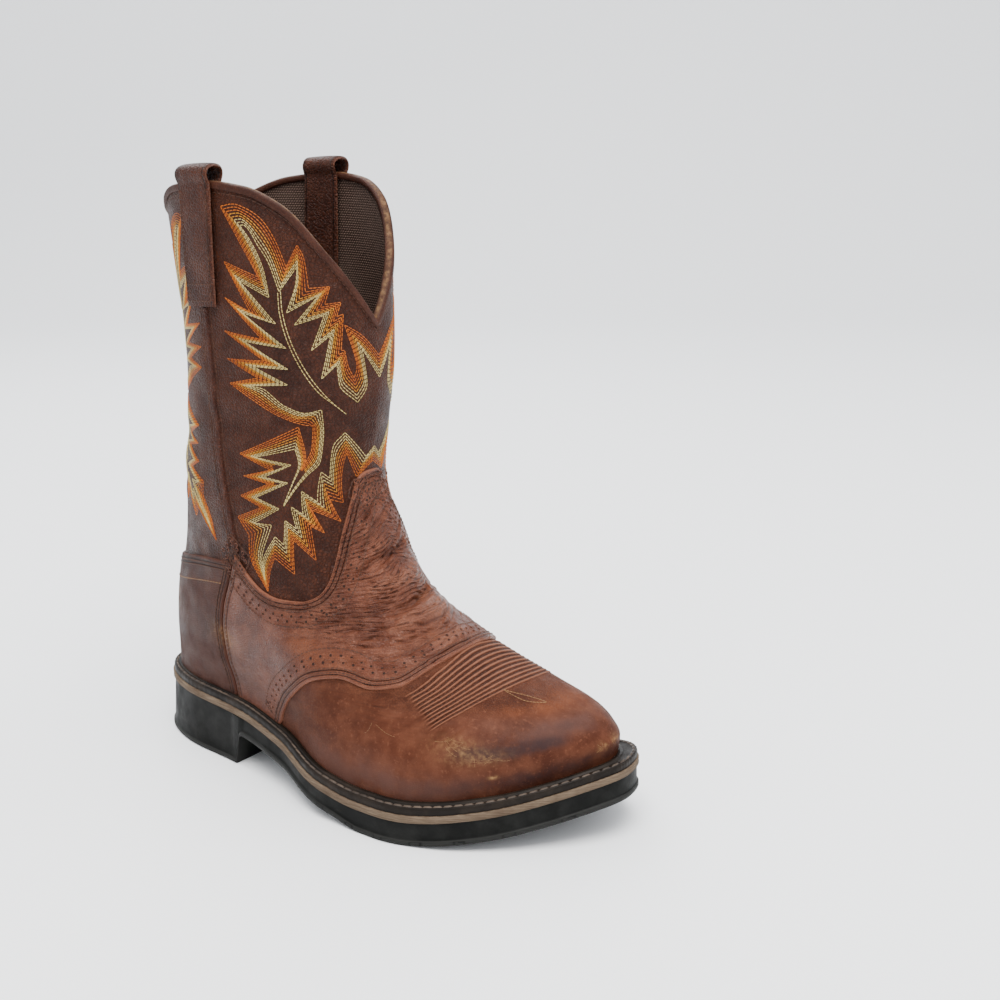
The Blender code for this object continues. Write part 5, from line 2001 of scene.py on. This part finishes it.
TOE_LEAF = (
    # degrees round, level
    (162.0, 0.508),
    (167.0, 0.475),
    (170.5, 0.440),
    (171.5, 0.420),
    (166.0, 0.432),
    (162.5, 0.455),
    (162.0, 0.508),
)
leaf_turns, leaf_levels = bend_line(TOE_LEAF, 60)
sew("toe_leaf", [cut_stitches(leaf_turns, leaf_levels, 0.0017)], 0.00036, "vamp_leather", TAN_THREAD, 0.0001)


# %% [markdown]
# ## Scratches on the toe
#
# Work marks the toe first. A scratch is a very thin stitch line in pale thread, so the helpers above
# draw it too. Each group of scratches has a place and a spread, and dice with a fixed seed put them
# in the same places every time.

# %% Scratches
SCRATCH_STEP = 0.0018
SCRATCH_WIDTH = 0.00013
SCRATCHES = [
    # degrees round, level, spread in degrees, spread in levels, count
    (128, 0.255, 4, 0.030, 7),
    (133, 0.200, 5, 0.025, 5),
    (168, 0.100, 3, 0.020, 3),
    (184, 0.115, 3, 0.020, 3),
    (110, 0.300, 5, 0.040, 2),
]
dice = np.random.default_rng(11)
scratch_lines = []
for degrees, level, spread, rise, count in SCRATCHES:
    for _ in range(count):
        run = np.linspace(-0.5, 0.5, 9)
        aim = dice.uniform(0, math.pi)
        turns = degrees + spread * (dice.uniform(-1, 1) + 1.1 * math.cos(aim) * run)
        levels = level + rise * (dice.uniform(-1, 1) + 1.6 * math.sin(aim) * run + 0.8 * run**2)
        scratch_lines.append(cut_stitches(np.radians(turns), levels, SCRATCH_STEP))
sew("toe_scratches", scratch_lines, SCRATCH_WIDTH, "vamp_leather", TAN_THREAD, 0.00005)
print("scratches:", len(scratch_lines))

# %% [markdown]
# ## Stitches on the straps
#
# A strap isn't on the skin, it bows away from it. So its rows of stitches start from the same share of
# the way up that lifted the strap's own face.

# %% Strap stitches


def strap_stitches(outer):
    """Rows of stitches down the outer leg of a strap, and a box across its foot."""
    inset = 0.0021 / STRAP_WIDTH
    levels = np.linspace(STRAP_BOTTOM_LEVEL + 0.018, 1.985, 120)
    edges = []
    for level in levels:
        turns = strap_turns(level, outer)
        ends = [np.interp(share, np.linspace(0, 1, STRAP_ACROSS), turns) for share in (inset, 1 - inset)]
        edges.append(ends)
    edges = np.array(edges)
    lines = [cut_stitches(edges[:, k], levels, SEAM_STITCH) for k in (0, 1)]
    for row in (0, 18):
        across = np.linspace(edges[row, 0], edges[row, 1], 12)
        lines.append(cut_stitches(across, np.full(12, levels[row]), SEAM_STITCH))
    turns, levels = np.concatenate(lines, axis=1)
    share = np.clip((levels - STRAP_BOTTOM_LEVEL) / (2 - STRAP_BOTTOM_LEVEL), 0, 1)
    away = LAYER_GAP + (STRAP_CLEAR - LAYER_GAP) * share + STRAP_THICKNESS
    normal = upper_normal(turns, levels)
    return upper_point(turns, levels) + normal * away[..., None], normal


for name, outer in (("strap_stitches_outer", True), ("strap_stitches_inner", False)):
    thread_mesh(name, *strap_stitches(outer), SEAM_THREAD, "strap_leather", BROWN_THREAD)
print("small stitch lines sewn")

# %% [markdown]
# ## Sole, midsole, welt and insole
#
# These are rings and plates over the plan of the sole. A short list of rows gives each its section:
# how far in from the sole's edge, and how high. The more rows there are near a corner, the rounder it
# gets.

# %% Sole parts
SOLE_COLUMNS = 400
FLAT_FROM = 0.62
WAIST_RUN = 0.05
sole_turns = np.linspace(0, FULL_TURN, SOLE_COLUMNS, endpoint=False)


def outsole_bottom(x):
    """Height of the tread's face: heel block, slanted breast, waist, flat forepart, toe spring."""
    waist_share = np.clip((FLAT_FROM - x / SOLE_LENGTH) / WAIST_RUN, 0, 1)
    thickness = FOREPART_THICKNESS + (WAIST_THICKNESS - FOREPART_THICKNESS) * waist_share
    arched = np.maximum(sole_top(x) - thickness, 0)
    breast_share = np.clip((x - HEEL_BREAST) / BREAST_SLANT, 0, 1)
    return arched * breast_share


def heel_flare(turn):
    return -HEEL_FLARE * np.clip(1.6 - plan_point(turn)[0] / HEEL_BREAST, 0, 1)


def ring_of(inset, height):
    """A ring of points at an inset from the sole's edge and at a height; both may vary round it."""
    x, y = sole_outline(sole_turns, inset(sole_turns) if callable(inset) else inset)
    return np.stack([x, y, height(x, sole_turns)], -1)


def add_ring(name, rows, slot, node, material):
    rings = np.stack([ring_of(inset, height) for inset, height in rows])
    piece = mesh_object(name, rings, grid_quads(len(rings), SOLE_COLUMNS, closed=True), slot)
    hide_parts(node)
    return finish_with(piece, material)


def rubber(name, colour, dust, roughness, dusty=0.6, fibres=0.0, specular=0.06):
    """Rubber or pressed board: a colour with dust on it, and fibres that run along the edge."""
    made = Nodes(name, roughness, specular)
    cloud = made.range(made.noise(45, 5, 0.6), 0.42, 0.72)
    tint = made.blend(made.times(cloud, dusty), colour, dust)
    tint = made.blend(made.range(made.attribute("proud"), 0.3, 0.7, 0.0, 0.8), tint, dust)
    normal = made.bump(made.noise(1100, 3), 0.00007)
    if fibres:
        strands = made.noise(1.0, 5, 0.7, made.stretched((90, 90, 2400)))
        tint = made.blend(made.range(strands, 0.35, 0.65, 0.0, 0.75), tint, dust)
        normal = made.bump(strands, fibres, 1.0, normal)
    return made.finish(tint, normal, made.range(made.noise(80), 0.3, 0.7, roughness - 0.08, roughness + 0.12))


RUBBER = rubber("outsole rubber", (0.0042, 0.0044, 0.0040), (0.0190, 0.0190, 0.0178), 0.50, 0.5)
TAN_EDGE = rubber("midsole edge", (0.140, 0.102, 0.070), (0.060, 0.040, 0.027), 0.75, 0.7, 0.0002)
WELT_BROWN = rubber("welt leather", (0.0070, 0.0050, 0.0038), (0.0250, 0.0175, 0.0125), 0.44, 0.6, 0, 0.10)
COVER = rubber("insole cover", (0.055, 0.042, 0.035), (0.10, 0.08, 0.065), 0.85)


def over_sole(lift):
    return lambda x, turns: sole_top(x) + lift


MIDSOLE_ROUND = 0.0004
add_ring(
    "midsole_edge",
    [
        (0.012, over_sole(LAYER_GAP)),
        (MIDSOLE_ROUND, over_sole(LAYER_GAP)),
        (0.0, over_sole(LAYER_GAP + MIDSOLE_ROUND)),
        (0.0001, over_sole(LAYER_GAP + MIDSOLE_THICKNESS * 0.5)),
        (0.0, over_sole(MIDSOLE_TOP - MIDSOLE_ROUND)),
        (MIDSOLE_ROUND, over_sole(MIDSOLE_TOP)),
        (0.012, over_sole(MIDSOLE_TOP)),
    ],
    "midsole_tan",
    "midsole",
    TAN_EDGE,
)

WELT_LOW = MIDSOLE_TOP + LAYER_GAP
BEAD_WIDTH = 0.0030
BEAD_HEIGHT = 0.0020


def gimp(turns, size):
    """Small scallops along the welt's edge."""
    return WELT_EDGE_STEP + size * (0.5 + 0.5 * np.cos(turns * 150))


welt_rows = [
    (lambda turns: gimp(turns, 0.0004), over_sole(WELT_LOW)),
    (lambda turns: gimp(turns, 0.0003), over_sole(WELT_LOW + WELT_THICKNESS * 0.55)),
    (lambda turns: gimp(turns, 0.0004) + 0.0002, over_sole(WELT_TOP - 0.0007)),
    (lambda turns: gimp(turns, 0.0004) + 0.0007, over_sole(WELT_TOP - 0.0002)),
    (lambda turns: gimp(turns, 0.0) + 0.0013, over_sole(WELT_TOP - 0.0003)),
    (lambda turns: gimp(turns, 0.0) + 0.0020, over_sole(WELT_TOP - 0.0007)),
    (lambda turns: shelf(turns) - BEAD_WIDTH, over_sole(WELT_TOP - 0.0006)),
]
for step in range(1, 9):
    angle = math.pi * step / 9
    share = 0.5 - 0.5 * math.cos(angle)
    welt_rows.append(
        (
            lambda turns, share=share: shelf(turns) - BEAD_WIDTH * (1 - share) + 0.0004 * share,
            over_sole(WELT_TOP - 0.0004 + BEAD_HEIGHT * math.sin(angle) * 0.5),
        )
    )
welt_rows.append((lambda turns: shelf(turns) + 0.0022, over_sole(WELT_TOP - 0.0008)))
add_ring("welt_rim", welt_rows, "welt_leather", "welt", WELT_BROWN)
print("welt rows:", len(welt_rows))

insole_rows = [
    (lambda turns: shelf(turns) + WALL + 3 * LAYER_GAP, over_sole(WELT_LOW)),
    (lambda turns: shelf(turns) + WALL + 3 * LAYER_GAP, over_sole(WELT_LOW + INSOLE_THICKNESS - 0.001)),
    (lambda turns: shelf(turns) + WALL + 3 * LAYER_GAP + 0.001, over_sole(WELT_LOW + INSOLE_THICKNESS)),
    (lambda turns: shelf(turns) + 0.012, over_sole(WELT_LOW + INSOLE_THICKNESS)),
    (lambda turns: shelf(turns) + 0.020, over_sole(WELT_LOW + INSOLE_THICKNESS)),
]


def capped_plate(name, rows, slot, node, material, caps, proud=None):
    """A ring whose first or last row is closed with strips straight across the sole."""
    rings = np.stack([ring_of(inset, height) for inset, height in rows])
    faces = grid_quads(len(rings), SOLE_COLUMNS, closed=True)
    half = SOLE_COLUMNS // 2
    for row in caps:
        start = row * SOLE_COLUMNS
        for i in range(half):
            corners = [start + i, start + i + 1, start + (SOLE_COLUMNS - i - 1) % SOLE_COLUMNS]
            corners.append(start + (SOLE_COLUMNS - i) % SOLE_COLUMNS)
            faces.append([corner for k, corner in enumerate(corners) if corner not in corners[:k]])
    marks = {"proud": np.repeat(np.asarray(proud or [0.0] * len(rings), float), SOLE_COLUMNS)}
    piece = mesh_object(name, rings, faces, slot, marks)
    piece.data.set_sharp_from_angle(angle=math.radians(50))
    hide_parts(node)
    return finish_with(piece, material)


capped_plate("insole_cover", insole_rows, "insole_cover", "insole", COVER, (len(insole_rows) - 1,))
print("insole cover done")

# %% [markdown]
# ## Rubber outsole with its tread
#
# The outsole is one block of rubber: a heel with a slanted breast, a thin waist and a flat forepart.
# Its side wall stands back a millimetre behind a rim round the bottom. A Boolean cuts the tread's
# grooves from below, with one simple wedge for each groove, and is then made part of the mesh.

# %% Outsole
LUG_DEPTH = 0.0022
LUG_GROOVE = 0.0045
LUG_SLANT = 0.006
LUG_RUNOUT = 0.012
HEEL_LUGS = 3
HEEL_LUG_REACH = 0.36
FOREPART_LUGS = 7
FOREPART_LUGS_FROM = 0.535
FOREPART_LUGS_TO = 0.925
SOLID_STRIP = 0.012
RUBBER_ROUND = 0.0007


def panel_share(x):
    """1 where the side wall stands back, 0 at the heel's breast, where the rim runs up."""
    near = np.abs(x - HEEL_BREAST - BREAST_SLANT * 0.3)
    return smooth_step(near, 0.0030, 0.0045)


def wall_inset(share):
    def inset(turns):
        x = plan_point(turns)[0]
        return heel_flare(turns) * (1 - share) + PANEL_DEPTH * panel_share(x)

    return inset


def over_bottom(lift, share=0.0):
    """Height between the tread's face plus a lift (share 0) and the top of the rubber (share 1)."""

    def height(x, turns):
        low = outsole_bottom(x) + lift
        return low + (sole_top(x) - low) * share

    return height


def lug_places():
    """For each groove: its place along the sole, and how far out it runs."""
    heel = [(HEEL_BREAST * (0.24 + 0.24 * i), HEEL_LUG_REACH * HEEL_WIDTH) for i in range(HEEL_LUGS)]
    step = (FOREPART_LUGS_TO - FOREPART_LUGS_FROM) / (FOREPART_LUGS - 1)
    places = [SOLE_LENGTH * (FOREPART_LUGS_FROM + step * i) for i in range(FOREPART_LUGS)]
    return heel + [(place, BALL_WIDTH / 2 + LUG_RUNOUT) for place in places]


def groove_wedges():
    """One eight-cornered wedge for each groove, on both sides of a solid strip down the middle."""
    points, faces = [], []
    for x, reach in lug_places():
        for side in (-1, 1):
            start = len(points)
            for y, lead in ((side * SOLID_STRIP, LUG_SLANT), (side * reach, 0.0)):
                for shift in (-LUG_GROOVE / 2, LUG_GROOVE / 2):
                    place = x + lead + shift
                    roof = float(outsole_bottom(np.float64(place))) + LUG_DEPTH
                    points += [(place - HEEL_CENTRE, y, roof), (place - HEEL_CENTRE, y, -LUG_DEPTH)]
            a, b, c, d, e, f, g, h = range(start, start + 8)
            wedge = [(a, c, d, b), (e, f, h, g), (a, b, f, e), (c, g, h, d), (a, e, g, c), (b, d, h, f)]
            faces += wedge if side > 0 else [corners[::-1] for corners in wedge]
    mesh = bpy.data.meshes.new("grooves")
    mesh.from_pydata(points, [], faces)
    return bpy.data.objects.new("grooves", mesh)


outsole_rows = [
    (lambda turns: heel_flare(turns) + 0.0150, over_bottom(0.0)),
    (lambda turns: heel_flare(turns) + RUBBER_ROUND * 2, over_bottom(0.0)),
    (lambda turns: heel_flare(turns) + RUBBER_ROUND, over_bottom(0.0)),
    (lambda turns: heel_flare(turns) + RUBBER_ROUND * 0.3, over_bottom(RUBBER_ROUND * 0.3)),
    (heel_flare, over_bottom(RUBBER_ROUND)),
    (heel_flare, over_bottom(PANEL_RIM - 0.0004)),
    (lambda turns: heel_flare(turns) + 0.0003, over_bottom(PANEL_RIM)),
    (wall_inset(0.0), over_bottom(PANEL_RIM + 0.0007)),
    (wall_inset(0.25), over_bottom(PANEL_RIM + 0.0007, 0.25)),
    (wall_inset(0.5), over_bottom(PANEL_RIM + 0.0007, 0.5)),
    (wall_inset(0.9), over_bottom(PANEL_RIM + 0.0007, 0.9)),
    (wall_inset(1.0), over_bottom(0.0, 1.0)),
    (lambda turns: np.full_like(turns, 0.0150), over_bottom(0.0, 1.0)),
]


PROUD_ROWS = [1.0 if 1 <= row <= 6 else 0.0 for row in range(len(outsole_rows))]
both_ends = (0, len(outsole_rows) - 1)
outsole = capped_plate(
    "outsole_rubber", outsole_rows, "outsole_rubber", "outsole", RUBBER, both_ends, PROUD_ROWS
)
grooves = groove_wedges()
bpy.context.scene.collection.objects.link(grooves)
cut = outsole.modifiers.new("tread", "BOOLEAN")
cut.operation = "DIFFERENCE"
cut.solver = "EXACT"
cut.object = grooves
bpy.context.view_layer.update()
evaluated = outsole.evaluated_get(bpy.context.evaluated_depsgraph_get())
cut_mesh = bpy.data.meshes.new_from_object(evaluated)
outsole.modifiers.clear()
outsole.data = cut_mesh
bpy.data.objects.remove(grooves)
print("outsole", len(outsole.data.vertices), "points, size", [round(v, 3) for v in outsole.dimensions])

# %% [markdown]
# ## Welt stitches
#
# The welt is sewn to the midsole with thick waxed thread that lies in a shallow groove. It follows the
# sole's outline at an even distance, so it needs no skin: only the plan and the height of the welt.

# %% Welt stitches
WELT_STITCH = 0.0052
WELT_THREAD = 0.0011


def welt_stitches(inset, lift):
    turns = np.linspace(0, FULL_TURN, 3000)
    x, y = sole_outline(turns, inset)
    distance = run_length(np.stack([x, y], -1))
    count = int(distance[-1] / WELT_STITCH)
    places = (np.arange(count)[:, None] + STITCH_PLACES) * distance[-1] / count
    at = np.interp(places, distance, turns)
    sway = 0.0004 * np.array([-1.0, -0.3, 0.3, 1.0])
    x, y = sole_outline(at, inset + sway)
    base = np.stack([x, y, sole_top(x) + lift], -1)
    return base, np.broadcast_to(np.array([0.0, 0.0, 1.0]), base.shape)


WELT_TAN = thread_material("waxed thread", (0.022, 0.015, 0.011), (0.080, 0.056, 0.040), 0.5)
thread_mesh("welt_stitches", *welt_stitches(0.0027, WELT_TOP - 0.0004), WELT_THREAD, "welt_leather", WELT_TAN)
print("welt stitches every", WELT_STITCH * 1000, "mm")

# %% [markdown]
# ## Floor, light and camera
#
# The photograph was taken on a white sheet in soft daylight. A pale floor curves up into a backdrop.
# One wide lamp stands high above the camera like a window, a second fills the inner side, a third
# lights the boot from behind, and a sky that is brighter overhead does the rest.

# %% Stage
CAMERA_YAW = math.radians(125.79)
FLOOR_WHITE = (0.90, 0.905, 0.915)
FLOOR_REACH = 6.0
FLOOR_BELOW = 0.0002
CURVE_START = 1.6
CURVE_RADIUS = 0.8
BACKDROP_TOP = 5.0

floor_mesh = bpy.data.meshes.new("floor")
sweep = [(-FLOOR_REACH, 0.0)]
for angle in np.linspace(0, math.pi / 2, 16):
    reach = CURVE_START + CURVE_RADIUS * math.sin(angle)
    sweep.append((reach, CURVE_RADIUS - CURVE_RADIUS * math.cos(angle)))
sweep.append((CURVE_START + CURVE_RADIUS, BACKDROP_TOP))
floor_points, floor_faces = [], []
forward = np.array([math.cos(CAMERA_YAW), math.sin(CAMERA_YAW)])
side = np.array([forward[1], -forward[0]])
for reach, height in sweep:
    for across in (-FLOOR_REACH, FLOOR_REACH):
        place = forward * reach + side * across
        floor_points.append((place[0], place[1], height - FLOOR_BELOW))
for i in range(len(sweep) - 1):
    floor_faces.append((2 * i, 2 * i + 1, 2 * i + 3, 2 * i + 2))
floor_mesh.from_pydata(floor_points, [], floor_faces)
floor_mesh.shade_smooth()
floor = bpy.data.objects.new("floor", floor_mesh)
bpy.context.scene.collection.objects.link(floor)
floor.data.materials.append(Nodes("pale floor", 0.7).finish(FLOOR_WHITE))


def add_lamp(name, place, target, size, power, colour):
    lamp = bpy.data.lights.new(name, "AREA")
    lamp.shape = "RECTANGLE"
    lamp.size, lamp.size_y = size
    lamp.energy = power
    lamp.color = colour
    made = bpy.data.objects.new(name, lamp)
    made.location = place
    made.rotation_euler = (Vector(target) - Vector(place)).to_track_quat("-Z", "Y").to_euler()
    bpy.context.scene.collection.objects.link(made)


add_lamp("window", (0.70, -0.55, 1.9), (0.1, 0.0, 0.12), (1.5, 1.1), 70, (1.0, 0.985, 0.96))
add_lamp("fill", (1.5, 0.9, 1.0), (0.1, 0.0, 0.12), (1.4, 1.4), 11, (0.95, 0.97, 1.0))
add_lamp("back", (-0.9, 0.6, 1.4), (0.1, 0.0, 0.15), (1.2, 1.0), 18, (0.96, 0.98, 1.0))

world = bpy.data.worlds.new("soft sky")
world.use_nodes = True
sky = world.node_tree.nodes["Background"]
sky.inputs["Color"].default_value = (0.88, 0.90, 0.93, 1)
direction = world.node_tree.nodes.new("ShaderNodeTexCoord").outputs["Generated"]
axes_of_sky = world.node_tree.nodes.new("ShaderNodeSeparateXYZ")
overhead = world.node_tree.nodes.new("ShaderNodeMapRange")
for key, number in (("From Min", -0.1), ("From Max", 0.9), ("To Min", 0.55), ("To Max", 2.2)):
    overhead.inputs[key].default_value = number
world.node_tree.links.new(direction, axes_of_sky.inputs["Vector"])
world.node_tree.links.new(axes_of_sky.outputs["Z"], overhead.inputs["Value"])
world.node_tree.links.new(overhead.outputs["Result"], sky.inputs["Strength"])
bpy.context.scene.world = world
print("lamps and sky are set")

# %% [markdown]
# ## Camera
#
# The camera stands where the photographer stood. Its place and its three angles were fitted to points
# on the sole and the collar, so the picture can be laid over the photo.

# %% Camera
CAMERA_PLACE = (0.5930, -0.5522, 0.3540)
CAMERA_PITCH = math.radians(15.41)
CAMERA_ROLL = math.radians(-0.76)
CAMERA_ANGLE = 2 * math.atan(500 / 1446.9)

lens = bpy.data.cameras.new("camera")
lens.sensor_fit = "HORIZONTAL"
lens.angle = CAMERA_ANGLE
lens.clip_start = 0.01
camera = bpy.data.objects.new("camera", lens)
ahead = Vector(
    (
        math.cos(CAMERA_YAW) * math.cos(CAMERA_PITCH),
        math.sin(CAMERA_YAW) * math.cos(CAMERA_PITCH),
        -math.sin(CAMERA_PITCH),
    )
)
right = Vector((math.sin(CAMERA_YAW), -math.cos(CAMERA_YAW), 0))
upward = right.cross(ahead)
rolled_right = math.cos(CAMERA_ROLL) * right + math.sin(CAMERA_ROLL) * upward
rolled_up = -math.sin(CAMERA_ROLL) * right + math.cos(CAMERA_ROLL) * upward
axes = Matrix((rolled_right, rolled_up, -ahead)).transposed().to_4x4()
camera.matrix_world = Matrix.Translation(CAMERA_PLACE) @ axes
bpy.context.scene.collection.objects.link(camera)
bpy.context.scene.camera = camera
print("camera angle", round(math.degrees(CAMERA_ANGLE), 1), "degrees")
